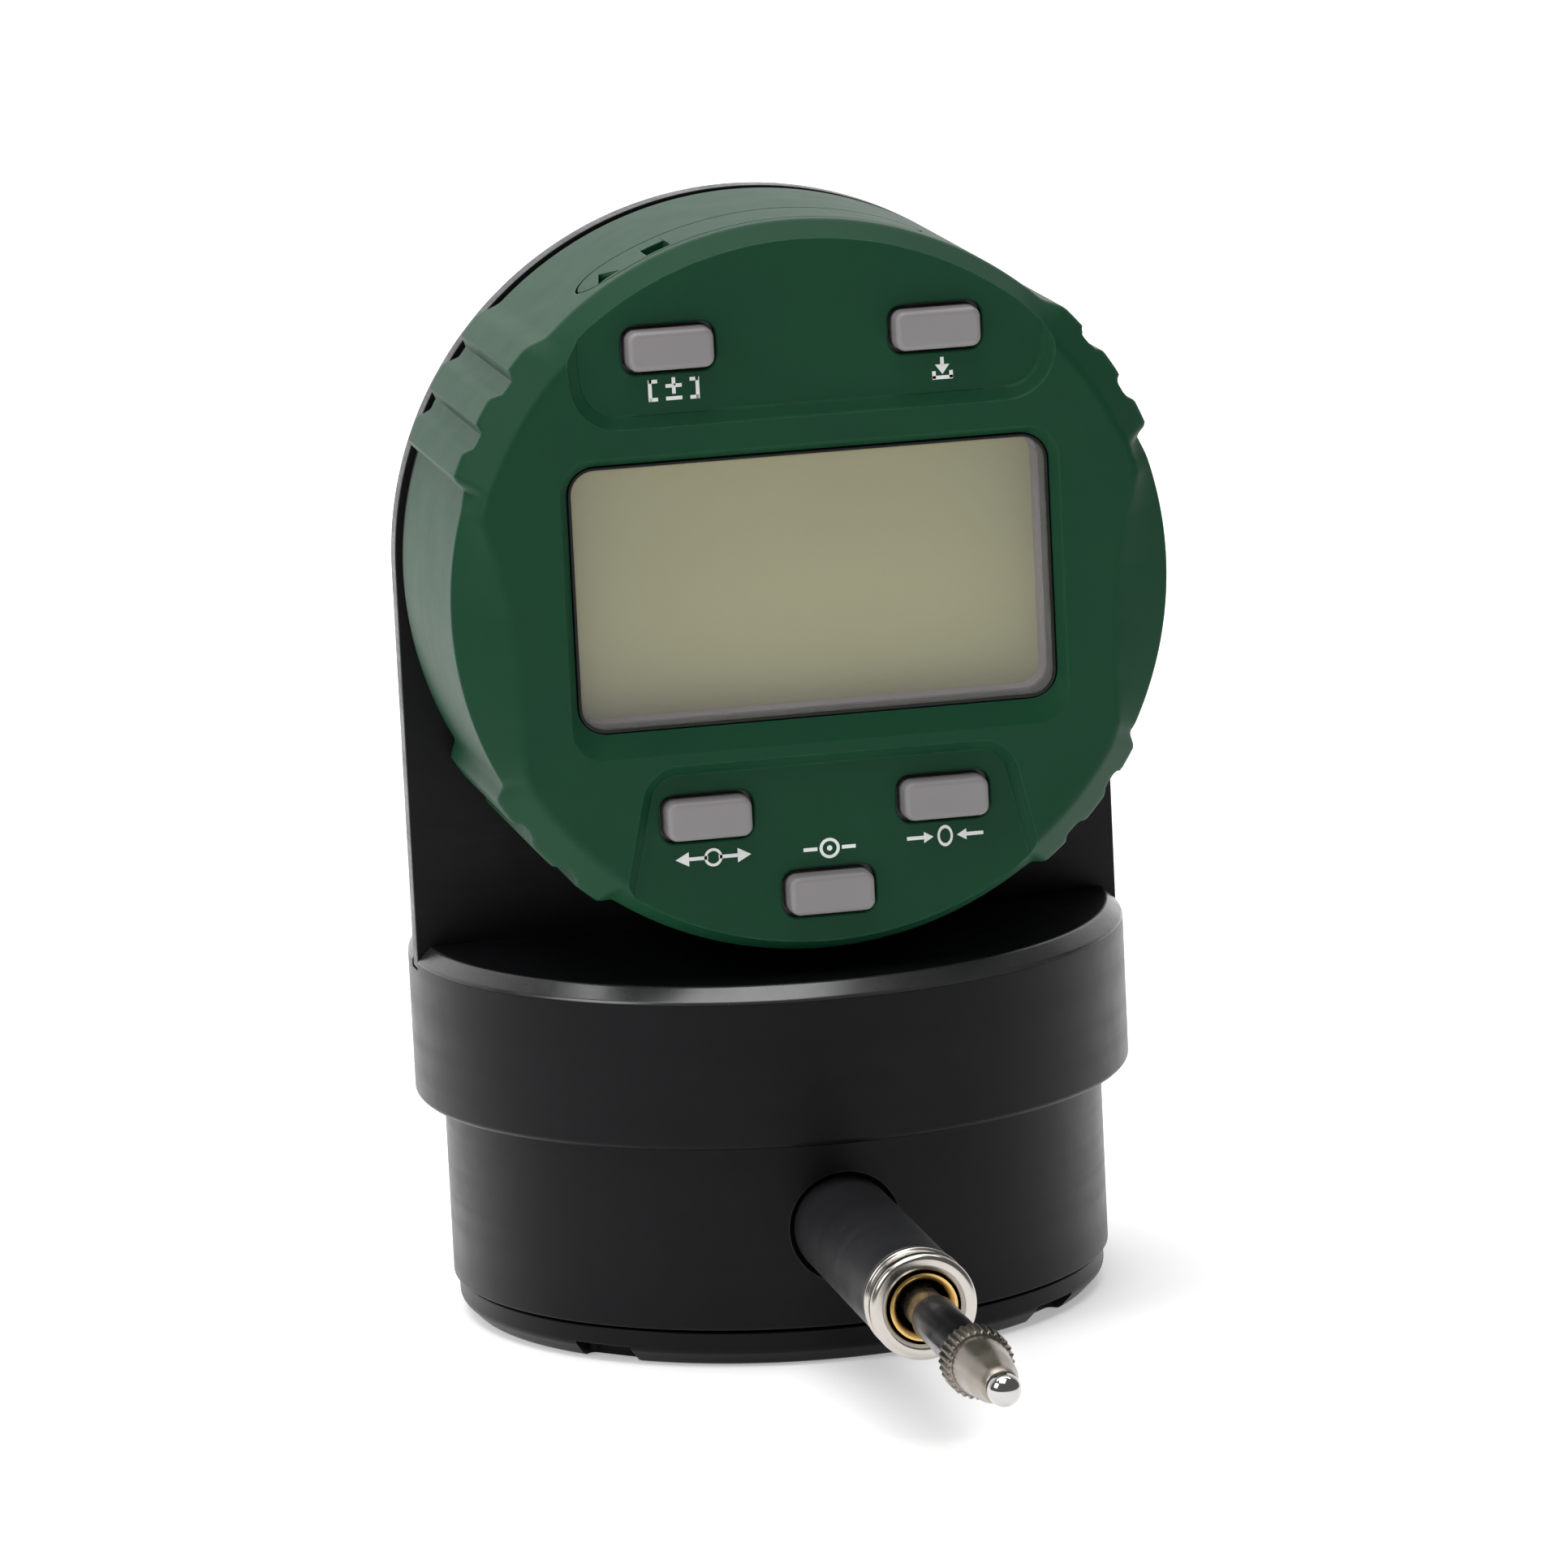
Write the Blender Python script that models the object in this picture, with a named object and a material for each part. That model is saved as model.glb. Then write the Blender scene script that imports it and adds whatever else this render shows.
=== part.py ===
"""Digital indicator with a horizontal plunger.

A round display head turns on an upright plate. The plate stands in a turned flange on a hollow
drum, and the plunger slides out of the drum's front. Units are metres and +Z is up. The origin is
the centre of the underside, and the display and the plunger face -Y.
"""

import math

import bmesh
import bpy
from mathutils import Matrix, Vector

GAP = 0.0003  # clearance between neighbouring pieces
CUT = 0.002  # how far a cutter runs past the face that it opens
SHARP = math.radians(30)

# Facets round a full circle, by size
LARGE_STEPS = 60
MIDDLE_STEPS = 30
SMALL_STEPS = 20
SCREW_STEPS = 12

# Turned base, from the underside up
DISC_RADIUS = 0.0308
DISC_TOP = 0.0034
DISC_CHAMFER = 0.0015
SPIGOT_HEIGHT = 0.0018
NOTCH_LENGTH = 0.0062
NOTCH_DEPTH = 0.0012
NOTCH_HEIGHT = 0.0017
DRUM_RADIUS = 0.0313
DRUM_BORE = 0.0275
DRUM_BOTTOM = DISC_TOP + GAP
DRUM_TOP = 0.0211
REGISTER_RADIUS = 0.0294
REGISTER_HEIGHT = 0.003
FLANGE_RADIUS = 0.0340
FLANGE_BOTTOM = DRUM_TOP + GAP
FLANGE_TOP = 0.0367
FLANGE_CHAMFER = 0.0014
FLANGE_EDGE = 0.0004
ROOF = 0.0035
BOSS_PITCH_RADIUS = 0.0248
BOSS_RADIUS = 0.0034
BOSS_ANGLES = [math.radians(a) for a in (60, 180, 300)]
BASE_SCREW_TIP = 0.012

# Upright plate and its bracket
PLATE_FRONT = -0.0019
PLATE_BACK = 0.0004
PLATE_HALF_WIDTH = 0.0339
PLATE_SLOT_DEPTH = 0.0023
HEAD_Z = 0.0726  # height of the head's axis
BRACKET_HALF_WIDTH = 0.026
BRACKET_DEPTH = 0.010
BRACKET_HEIGHT = 0.012
BRACKET_THICKNESS = 0.0022
BRACKET_NOTCH = 0.0075
BRACKET_SCREW_X = 0.018
PLATE_SCREW_Z = 0.0445
FLANGE_SCREW_Y = 0.0068

# Cable duct behind the plate
DUCT_RADIUS = 0.0135
DUCT_HALF_WIDTH = 0.0065
DUCT_DEPTH = 0.006
DUCT_WALL = 0.0012
DUCT_EAR_Z = 0.056
DUCT_EAR_X = 0.0095
DUCT_EAR_RADIUS = 0.003
DUCT_EAR_THICKNESS = 0.0017
FLEX_WIDTH = 0.008
FLEX_THICKNESS = 0.0004

# Plunger, along Y at its own height
PLUNGER_Z = 0.013
STEM_RADIUS = 0.0047625
STEM_BORE = 0.0034
STEM_FRONT = -0.0603
STEM_BACK = -0.018
STEM_BOSS_RADIUS = 0.0072
STEM_BOSS_BACK = -0.0195
NOSE_RADIUS = 0.0049
NOSE_FRONT = -0.0641
BUSH_RADIUS = STEM_BORE - GAP
FRONT_BUSH_BORE = 0.00245
FRONT_BUSH_BACK = -0.050
REAR_BUSH_BORE = 0.00215
REAR_BUSH_FRONT = -0.028
SPINDLE_RADIUS = 0.0018
SPINDLE_NECK_RADIUS = 0.0015
SPINDLE_FRONT = -0.0824
SPINDLE_BACK = 0.008
SLEEVE_RADIUS = 0.00212
SLEEVE_BACK = -0.0681
KNURL_RADIUS = 0.00315
KNURL_DEPTH = 0.00022
KNURL_TEETH = 26
KNURL_BACK = -0.0827
KNURL_FRONT = -0.0862
CONE_FRONT = -0.0946
CONE_TIP_RADIUS = 0.00135
BALL_RADIUS = 0.0015
BALL_Y = -0.0950
CARRIER_FRONT = -0.012
CARRIER_BACK = 0.002
GUIDE_ROD_X = 0.0072
GUIDE_ROD_RADIUS = 0.001
SPRING_RADIUS = 0.0028
SPRING_WIRE = 0.00025
SPRING_TURNS = 8
SPRING_BACK = 0.0262
BOARD_RADIUS = 0.0268
BOARD_THICKNESS = 0.0012

# Display head, from the back cover forwards
COVER_RADIUS = 0.0333
COVER_BACK = PLATE_FRONT - GAP
COVER_FRONT = -0.0035
COVER_SPIGOT_FRONT = -0.0063
HOUSING_BACK = COVER_FRONT - GAP
HOUSING_SHOULDER = -0.0275
HOUSING_FRONT = -0.0315
HOUSING_CAVITY = 0.0313
HOUSING_CAVITY_FRONT = -0.0293
RIM_RADIUS = 0.0339
SIDE_RADIUS = 0.0335
GRIP_RADIUS = 0.0348
GROOVE_DEPTH = 0.0008
GROOVE_HALF_WIDTH = 3.0  # degrees
GRIP_RAMP = 1.6
# Where the upper and lower grips start and end and where their grooves are, in degrees from level
UPPER_GRIP = (20.2, 47.4, (28.0, 37.4))
LOWER_GRIP = (29.4, 53.6, (37.2, 46.2))
RIM_STEPS = 144
FACE_CHAMFER = 0.0020
HUB_RADIUS = 0.008
HUB_BORE = 0.005
HUB_FLANGE = 0.012
HUB_BACK = 0.0036
NUT_RADIUS = 0.011
HOUSING_BOSS_PITCH = 0.0286
HOUSING_BOSS_RADIUS = 0.0031
HOUSING_BOSS_ANGLES = [math.radians(a) for a in (45, 135, 225, 315)]
HOUSING_SCREW_TIP = -0.014

# Display window and what lies behind it
WINDOW_Z = 0.0733
WINDOW_WIDTH = 0.0450
WINDOW_HEIGHT = 0.0248
WINDOW_CORNER = 0.0026
FRAME_LIP = 0.0009
FRAME_FRONT = -0.0313
FRAME_BACK = -0.0279
FRAME_FLANGE_FRONT = -0.0290
FRAME_FLANGE = 0.0013
LENS_FRONT = -0.0311
LENS_BACK = -0.0303
SURROUND_FRONT = -0.0299
SURROUND_BACK = -0.0265
SURROUND_WALL = 0.0005
LCD_FRONT = -0.0262
LCD_BACK = -0.0243
LCD_WIDTH = 0.0452
LCD_HEIGHT = 0.0258
MAIN_BOARD_FRONT = -0.0240
MAIN_BOARD_BACK = -0.0231
MAIN_BOARD_RADIUS = 0.0306
MAIN_BOARD_TOP = 0.0990
MAT_FRONT = -0.0274
MAT_BACK = -0.0266
POST_RADIUS = 0.0015

# Buttons: name, centre X and centre Z
BUTTONS = (
    ("button_tolerance", -0.0124, 0.0960),
    ("button_memory", 0.0124, 0.0960),
    ("button_units", -0.0110, 0.0525),
    ("button_absolute", 0.0001, 0.0446),
    ("button_zero", 0.0112, 0.0525),
)
BUTTON_WIDTH = 0.0081
BUTTON_HEIGHT = 0.0038
BUTTON_CORNER = 0.0010
BUTTON_FRONT = -0.0323
BUTTON_FLANGE_FRONT = -0.0290
BUTTON_FLANGE_BACK = -0.0281
BUTTON_FLANGE = 0.0005

# Battery drawer in the rim
DRAWER_X = -0.0030
DRAWER_HALF_WIDTH = 0.0160
DRAWER_FRONT = -0.0262
DRAWER_BACK = -0.0196
DRAWER_CHORD_Z = 0.1003
TRAY_HALF_WIDTH = 0.0123
TRAY_FRONT = -0.0228
TRAY_TOP = 0.1000
TRAY_BOTTOM = 0.0800
COIN_RADIUS = 0.0100
COIN_FRONT = -0.0227
COIN_BACK = -0.0197
COIN_Z = 0.0890

FRAMES = {}


# ---------------------------------------------------------------- scene and materials


def clear_scene():
    for obj in list(bpy.data.objects):
        bpy.data.objects.remove(obj, do_unlink=True)


def make_material(name, colour, roughness, metallic=0.0, alpha=1.0):
    material = bpy.data.materials.new(name)
    material.use_nodes = True
    shader = material.node_tree.nodes["Principled BSDF"]
    shader.inputs["Base Color"].default_value = (*colour, 1.0)
    shader.inputs["Roughness"].default_value = roughness
    shader.inputs["Metallic"].default_value = metallic
    shader.inputs["Alpha"].default_value = alpha
    material.diffuse_color = (*colour, alpha)
    return material


def make_materials():
    return {
        "black_metal": make_material("black_metal", (0.012, 0.012, 0.014), 0.42, 0.5),
        "black_plastic": make_material("black_plastic", (0.014, 0.014, 0.016), 0.5),
        "green_plastic": make_material("green_plastic", (0.013, 0.075, 0.036), 0.45),
        "grey_plastic": make_material("grey_plastic", (0.31, 0.28, 0.29), 0.5),
        "chrome": make_material("chrome", (0.72, 0.72, 0.74), 0.12, 1.0),
        "steel": make_material("steel", (0.56, 0.56, 0.55), 0.28, 1.0),
        "brass": make_material("brass", (0.65, 0.42, 0.14), 0.3, 1.0),
        "lens": make_material("lens", (0.8, 0.8, 0.8), 0.06, 0.0, 0.3),
        "display": make_material("display", (0.36, 0.33, 0.20), 0.35),
        "board": make_material("board", (0.02, 0.11, 0.05), 0.5),
        "rubber": make_material("rubber", (0.05, 0.05, 0.055), 0.8),
        "flex": make_material("flex", (0.45, 0.20, 0.04), 0.4),
        "glass": make_material("glass", (0.35, 0.38, 0.36), 0.1),
    }


def make_frame(name, location):
    """An empty on a joint's axis, which carries the pieces that move together."""
    empty = bpy.data.objects.new(name, None)
    empty.location = location
    bpy.context.scene.collection.objects.link(empty)
    FRAMES[name] = empty


def make_object(name, bm, material=None, frame="base_frame"):
    """Closes a bmesh drawn in world coordinates into an object under its frame."""
    bmesh.ops.remove_doubles(bm, verts=bm.verts, dist=1e-7)
    bmesh.ops.recalc_face_normals(bm, faces=bm.faces)
    parent = FRAMES[frame]
    bmesh.ops.translate(bm, verts=bm.verts, vec=-parent.location)
    mesh = bpy.data.meshes.new(name)
    bm.to_mesh(mesh)
    bm.free()
    mesh.shade_smooth()
    mesh.set_sharp_from_angle(angle=SHARP)
    obj = bpy.data.objects.new(name, mesh)
    bpy.context.scene.collection.objects.link(obj)
    obj.parent = parent
    if material:
        mesh.materials.append(material)
    else:
        obj.hide_render = True
        obj.display_type = "WIRE"
    return obj


def combine(target, operation, cutters):
    """Adds an exact Boolean to the target for each helper shape."""
    for cutter in cutters:
        modifier = target.modifiers.new(cutter.name, "BOOLEAN")
        modifier.operation = operation
        modifier.solver = "EXACT"
        modifier.object = cutter


# ---------------------------------------------------------------- shapes


def turned(profile, steps, centre=(0.0, 0.0, 0.0), along_y=False):
    """A profile of (radius, height) points turned a full circle about Z, or about Y."""
    bm = bmesh.new()
    verts = [bm.verts.new((radius, 0.0, height)) for radius, height in profile]
    edges = [bm.edges.new(pair) for pair in zip(verts, verts[1:])]
    if profile[0][0] > 0.0:
        edges.append(bm.edges.new((verts[-1], verts[0])))
    bmesh.ops.spin(
        bm,
        geom=verts + edges,
        cent=(0.0, 0.0, 0.0),
        axis=(0.0, 0.0, 1.0),
        dvec=(0.0, 0.0, 0.0),
        angle=math.tau,
        steps=steps,
        use_merge=True,
    )
    if along_y:
        bmesh.ops.rotate(bm, verts=bm.verts, cent=(0, 0, 0), matrix=Matrix.Rotation(-math.pi / 2, 3, "X"))
    bmesh.ops.translate(bm, verts=bm.verts, vec=centre)
    return bm


def rod(radius, low, high):
    return [(0.0, low), (radius, low), (radius, high), (0.0, high)]


def pipe(inner, outer, low, high):
    return [(inner, low), (outer, low), (outer, high), (inner, high)]


def prism(outline, low, high, axis="Y"):
    """A flat outline extruded along an axis. Its points are (x, z) for Y and (x, y) for Z."""
    bm = bmesh.new()
    if axis == "Y":
        verts = [bm.verts.new((x, low, z)) for x, z in outline]
        step = Vector((0.0, high - low, 0.0))
    else:
        verts = [bm.verts.new((x, y, low)) for x, y in outline]
        step = Vector((0.0, 0.0, high - low))
    face = bm.faces.new(verts)
    grown = bmesh.ops.extrude_face_region(bm, geom=[face])["geom"]
    moved = [item for item in grown if isinstance(item, bmesh.types.BMVert)]
    bmesh.ops.translate(bm, verts=moved, vec=step)
    return bm


def block(x0, x1, y0, y1, z0, z1):
    return prism([(x0, y0), (x1, y0), (x1, y1), (x0, y1)], z0, z1, "Z")


def arc(centre_x, centre_y, radius, start, end, steps):
    """Points along an arc, with its angles in degrees."""
    angles = [math.radians(start + (end - start) * i / steps) for i in range(steps + 1)]
    return [(centre_x + radius * math.cos(a), centre_y + radius * math.sin(a)) for a in angles]


def rounded(centre_x, centre_y, width, height, corner, steps=3):
    """The outline of a rectangle with rounded corners."""
    dx = width / 2 - corner
    dy = height / 2 - corner
    points = []
    for sign_x, sign_y, start in ((1, 1, 0), (-1, 1, 90), (-1, -1, 180), (1, -1, 270)):
        points += arc(centre_x + sign_x * dx, centre_y + sign_y * dy, corner, start, start + 90, steps)
    return points


def round_hole(name, radius, low, high, centre, along_y=False, steps=SCREW_STEPS):
    return make_object(name, turned(rod(radius, low, high), steps, centre, along_y))


def on_circle(radius, angle, centre_y=0.0):
    return radius * math.cos(angle), centre_y + radius * math.sin(angle)


# ---------------------------------------------------------------- fasteners


def pan_screw(name, material, centre, along_y, head_low, tip, sign, frame="base_frame"):
    """A pan head with a drive recess on a plain shank. The head grows from head_low along sign."""
    head_radius = 0.0023
    head_height = 0.0016
    shank_radius = 0.00125
    recess_radius = 0.0009
    recess_depth = 0.0008
    top = head_low + sign * head_height
    profile = [
        (0.0, tip),
        (shank_radius, tip),
        (shank_radius, head_low),
        (head_radius, head_low),
        (head_radius, head_low + sign * head_height * 0.6),
        (head_radius * 0.8, top),
        (recess_radius, top),
        (recess_radius, top - sign * recess_depth),
        (0.0, top - sign * recess_depth),
    ]
    return make_object(name, turned(profile, SCREW_STEPS, centre, along_y), material, frame)


def sunk_screw(name, material, centre, along_y, face, tip, head_radius, shank_radius, frame):
    """A countersunk screw whose head is flush with face and whose shank runs to tip."""
    sign = 1.0 if tip > face else -1.0
    cone_end = face + sign * (head_radius - shank_radius)
    recess_radius = head_radius * 0.4
    recess_end = face + sign * 0.0009
    profile = [
        (0.0, recess_end),
        (recess_radius, recess_end),
        (recess_radius, face),
        (head_radius, face),
        (shank_radius, cone_end),
        (shank_radius, tip),
        (0.0, tip),
    ]
    return make_object(name, turned(profile, SCREW_STEPS, centre, along_y), material, frame)


def sunk_hole(name, centre, along_y, face, tip, head_radius, shank_radius, frame="base_frame"):
    """The cutter for a countersunk screw, a clearance wider than the screw all round."""
    sign = 1.0 if tip > face else -1.0
    wide = head_radius + GAP
    narrow = shank_radius + GAP
    profile = [
        (0.0, face - sign * CUT),
        (wide, face - sign * CUT),
        (wide, face),
        (narrow, face + sign * (wide - narrow)),
        (narrow, tip),
        (0.0, tip),
    ]
    return make_object(name, turned(profile, SCREW_STEPS, centre, along_y), None, frame)


# ---------------------------------------------------------------- turned base


def build_base_disc(mats):
    spigot = DRUM_BORE - GAP
    profile = [
        (0.0, 0.0),
        (DISC_RADIUS - DISC_CHAMFER, 0.0),
        (DISC_RADIUS, DISC_CHAMFER),
        (DISC_RADIUS, DISC_TOP),
        (spigot, DISC_TOP),
        (spigot, DISC_TOP + SPIGOT_HEIGHT),
        (0.0, DISC_TOP + SPIGOT_HEIGHT),
    ]
    disc = make_object("base_disc", turned(profile, LARGE_STEPS), mats["black_metal"])
    cutters = []
    for index in range(4):
        bm = block(
            DISC_RADIUS - NOTCH_DEPTH - DISC_CHAMFER,
            DISC_RADIUS + CUT,
            -NOTCH_LENGTH / 2,
            NOTCH_LENGTH / 2,
            -CUT,
            NOTCH_HEIGHT,
        )
        turn = Matrix.Rotation(math.radians(45 + 90 * index), 3, "Z")
        bmesh.ops.rotate(bm, verts=bm.verts, cent=(0, 0, 0), matrix=turn)
        cutters.append(make_object(f"notch_cutter_{index + 1}", bm))
    for index, angle in enumerate(BOSS_ANGLES):
        x, y = on_circle(BOSS_PITCH_RADIUS, angle)
        cutters.append(
            sunk_hole(f"disc_hole_cutter_{index + 1}", (x, y, 0), False, 0.0002, 0.008, 0.0028, 0.00125)
        )
        sunk_screw(
            f"base_screw_{index + 1}",
            mats["steel"],
            (x, y, 0),
            False,
            0.0002,
            BASE_SCREW_TIP,
            0.0028,
            0.00125,
            "base_frame",
        )
    combine(disc, "DIFFERENCE", cutters)


def build_drum(mats):
    register_bore = DRUM_BORE
    profile = [
        (DRUM_BORE, DRUM_BOTTOM),
        (DRUM_RADIUS, DRUM_BOTTOM),
        (DRUM_RADIUS, DRUM_TOP),
        (REGISTER_RADIUS, DRUM_TOP),
        (REGISTER_RADIUS, DRUM_TOP + REGISTER_HEIGHT),
        (register_bore, DRUM_TOP + REGISTER_HEIGHT),
    ]
    drum = make_object("drum_body", turned(profile, LARGE_STEPS), mats["black_metal"])
    boss_bottom = DISC_TOP + SPIGOT_HEIGHT + GAP
    additions = []
    holes = []
    for index, angle in enumerate(BOSS_ANGLES):
        x, y = on_circle(BOSS_PITCH_RADIUS, angle)
        bm = turned(rod(BOSS_RADIUS, boss_bottom, DRUM_TOP), SMALL_STEPS, (x, y, 0))
        additions.append(make_object(f"drum_boss_{index + 1}", bm))
        holes.append(
            round_hole(
                f"drum_hole_cutter_{index + 1}", 0.00155, boss_bottom - CUT, BASE_SCREW_TIP + GAP, (x, y, 0)
            )
        )
    wall_middle = -(DRUM_BORE + DRUM_RADIUS) / 2
    bm = turned(rod(STEM_BOSS_RADIUS, wall_middle, STEM_BOSS_BACK), MIDDLE_STEPS, (0, 0, PLUNGER_Z), True)
    additions.append(make_object("stem_boss", bm))
    bore = STEM_RADIUS + GAP
    bm = turned(rod(bore, -DRUM_RADIUS - CUT, STEM_BOSS_BACK + CUT), MIDDLE_STEPS, (0, 0, PLUNGER_Z), True)
    holes.append(make_object("stem_bore_cutter", bm))
    screw_y = -0.024
    centre = (0, screw_y, 0)
    holes.append(
        round_hole("set_screw_cutter", 0.00155, PLUNGER_Z + CUT, DRUM_TOP + CUT, centre)
    )
    combine(drum, "UNION", additions)
    combine(drum, "DIFFERENCE", holes)
    profile = [
        (0.0, 0.0181),
        (0.00125, 0.0181),
        (0.00125, 0.0200),
        (0.0006, 0.0200),
        (0.0006, 0.0193),
        (0.0, 0.0193),
    ]
    make_object("stem_set_screw", turned(profile, SCREW_STEPS, (0, screw_y, 0)), mats["steel"])


def build_flange(mats):
    register = REGISTER_RADIUS + GAP
    profile = [
        (0.0, FLANGE_TOP),
        (0.0, FLANGE_TOP - ROOF),
        (DRUM_BORE, FLANGE_TOP - ROOF),
        (DRUM_BORE, DRUM_TOP + REGISTER_HEIGHT + GAP),
        (register, DRUM_TOP + REGISTER_HEIGHT + GAP),
        (register, FLANGE_BOTTOM),
        (FLANGE_RADIUS - FLANGE_EDGE, FLANGE_BOTTOM),
        (FLANGE_RADIUS, FLANGE_BOTTOM + FLANGE_EDGE),
        (FLANGE_RADIUS, FLANGE_TOP - FLANGE_CHAMFER),
        (FLANGE_RADIUS - FLANGE_CHAMFER, FLANGE_TOP),
        (0.0, FLANGE_TOP),
    ]
    bm = turned(profile[1:], LARGE_STEPS)
    flange = make_object("flange_ring", bm, mats["black_metal"])
    bm = block(
        -FLANGE_RADIUS - CUT,
        FLANGE_RADIUS + CUT,
        PLATE_FRONT - GAP,
        PLATE_BACK + GAP,
        FLANGE_TOP - PLATE_SLOT_DEPTH,
        FLANGE_TOP + CUT,
    )
    holes = [make_object("plate_slot_cutter", bm)]
    bm = block(-0.005, 0.005, 0.0016, 0.0034, FLANGE_TOP - ROOF - CUT, FLANGE_TOP + CUT)
    holes.append(make_object("flex_slot_cutter", bm))
    for side in (-1, 1):
        centre = (side * BRACKET_SCREW_X, FLANGE_SCREW_Y, 0)
        holes.append(
            round_hole(f"flange_hole_{side}", 0.00155, FLANGE_TOP - ROOF - CUT, FLANGE_TOP + CUT, centre)
        )
    combine(flange, "DIFFERENCE", holes)


# ---------------------------------------------------------------- upright plate and what is behind it


def build_plate(mats):
    bottom = FLANGE_TOP - PLATE_SLOT_DEPTH + GAP
    outline = [(-PLATE_HALF_WIDTH, bottom), (PLATE_HALF_WIDTH, bottom)]
    outline += arc(0.0, HEAD_Z, PLATE_HALF_WIDTH, 0, 180, LARGE_STEPS)
    plate = make_object("upright_plate", prism(outline, PLATE_FRONT, PLATE_BACK), mats["black_metal"])
    centre = (0, 0, HEAD_Z)
    hub = round_hole(
        "hub_cutter", HUB_RADIUS + GAP, PLATE_FRONT - CUT, PLATE_BACK + CUT, centre, True, MIDDLE_STEPS
    )
    holes = [hub]
    skin = 0.0004
    for side in (-1, 1):
        for name, x, z in (("foot", BRACKET_SCREW_X, PLATE_SCREW_Z), ("ear", DUCT_EAR_X, DUCT_EAR_Z)):
            holes.append(
                round_hole(
                    f"plate_{name}_cutter_{side}",
                    0.00155,
                    PLATE_FRONT + skin,
                    PLATE_BACK + CUT,
                    (side * x, 0, z),
                    True,
                )
            )
    combine(plate, "DIFFERENCE", holes)


def build_bracket(mats):
    low = FLANGE_TOP + GAP
    back = PLATE_BACK + GAP
    inner_y = back + BRACKET_THICKNESS
    inner_z = low + BRACKET_THICKNESS
    profile = [
        (back, low),
        (back + BRACKET_DEPTH, low),
        (back + BRACKET_DEPTH, inner_z),
        (inner_y, inner_z),
        (inner_y, low + BRACKET_HEIGHT),
        (back, low + BRACKET_HEIGHT),
    ]
    bm = bmesh.new()
    verts = [bm.verts.new((-BRACKET_HALF_WIDTH, y, z)) for y, z in profile]
    grown = bmesh.ops.extrude_face_region(bm, geom=[bm.faces.new(verts)])["geom"]
    moved = [item for item in grown if isinstance(item, bmesh.types.BMVert)]
    bmesh.ops.translate(bm, verts=moved, vec=(2 * BRACKET_HALF_WIDTH, 0, 0))
    bracket = make_object("plate_bracket", bm, mats["black_metal"])
    bm = block(-BRACKET_NOTCH, BRACKET_NOTCH, back - CUT, back + 0.0066, low - CUT, low + BRACKET_HEIGHT + CUT)
    holes = [make_object("bracket_notch_cutter", bm)]
    for number, side in ((1, -1), (2, 1)):
        x = side * BRACKET_SCREW_X
        foot = (x, FLANGE_SCREW_Y, 0)
        wall = (x, 0, PLATE_SCREW_Z)
        holes.append(round_hole(f"bracket_foot_cutter_{number}", 0.00155, low - CUT, inner_z + CUT, foot))
        holes.append(round_hole(f"bracket_wall_cutter_{number}", 0.00155, back - CUT, inner_y + CUT, wall, True))
        pan_screw(f"flange_screw_{number}", mats["steel"], foot, False, inner_z + GAP, 0.034, 1)
        pan_screw(f"bracket_screw_{number}", mats["steel"], wall, True, inner_y + GAP, -0.0012, 1)
    combine(bracket, "DIFFERENCE", holes)


def keyhole(radius, half_width, bottom):
    """A round head with a straight channel running down from it."""
    meet = math.degrees(math.asin(half_width / radius))
    points = [(-half_width, bottom), (half_width, bottom)]
    return points + arc(0.0, HEAD_Z, radius, -90 + meet, 270 - meet, MIDDLE_STEPS)


def build_duct(mats):
    front = PLATE_BACK + GAP
    bottom = FLANGE_TOP + GAP
    outline = keyhole(DUCT_RADIUS, DUCT_HALF_WIDTH, bottom)
    cover = make_object("duct_cover", prism(outline, front, front + DUCT_DEPTH), mats["black_plastic"])
    ears = rounded(
        0, DUCT_EAR_Z, 2 * (DUCT_EAR_X + DUCT_EAR_RADIUS), 2 * DUCT_EAR_RADIUS, DUCT_EAR_RADIUS - 1e-5
    )
    ear_back = front + DUCT_EAR_THICKNESS
    combine(cover, "UNION", [make_object("cover_ears", prism(ears, front, ear_back))])
    holes = []
    for number, side in ((1, -1), (2, 1)):
        centre = (side * DUCT_EAR_X, 0, DUCT_EAR_Z)
        holes.append(
            round_hole(f"ear_cutter_{number}", 0.00155, front - CUT, ear_back + CUT, centre, True)
        )
        pan_screw(f"cover_screw_{number}", mats["steel"], centre, True, ear_back + GAP, -0.0012, 1)
    inner = keyhole(DUCT_RADIUS - DUCT_WALL, DUCT_HALF_WIDTH - DUCT_WALL, bottom - CUT)
    holes.append(make_object("duct_cavity_cutter", prism(inner, front - CUT, front + DUCT_DEPTH - DUCT_WALL)))
    combine(cover, "DIFFERENCE", holes)


def build_flex(mats):
    """The flat lead from the sensor board up the duct and forwards into the hub's bore."""
    bend = 0.0015
    run_y = 0.0025
    rear_y = 0.0046
    path = [(run_y, 0.0229), (run_y, 0.0560), (rear_y, 0.0600)]
    path += [(rear_y - bend + dy, z) for dy, z in arc(0.0, HEAD_Z - bend, bend, 0, 90, 8)]
    path += [(-0.0030, HEAD_Z)]
    bm = bmesh.new()
    verts = [bm.verts.new((-FLEX_WIDTH / 2, y, z)) for y, z in path]
    for pair in zip(verts, verts[1:]):
        bm.edges.new(pair)
    grown = bmesh.ops.extrude_edge_only(bm, edges=list(bm.edges))["geom"]
    moved = [item for item in grown if isinstance(item, bmesh.types.BMVert)]
    bmesh.ops.translate(bm, verts=moved, vec=(FLEX_WIDTH, 0, 0))
    flex = make_object("signal_flex", bm, mats["flex"])
    solid = flex.modifiers.new("thickness", "SOLIDIFY")
    solid.thickness = FLEX_THICKNESS
    solid.offset = 0.0
    solid.use_even_offset = True


# ---------------------------------------------------------------- plunger


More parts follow.
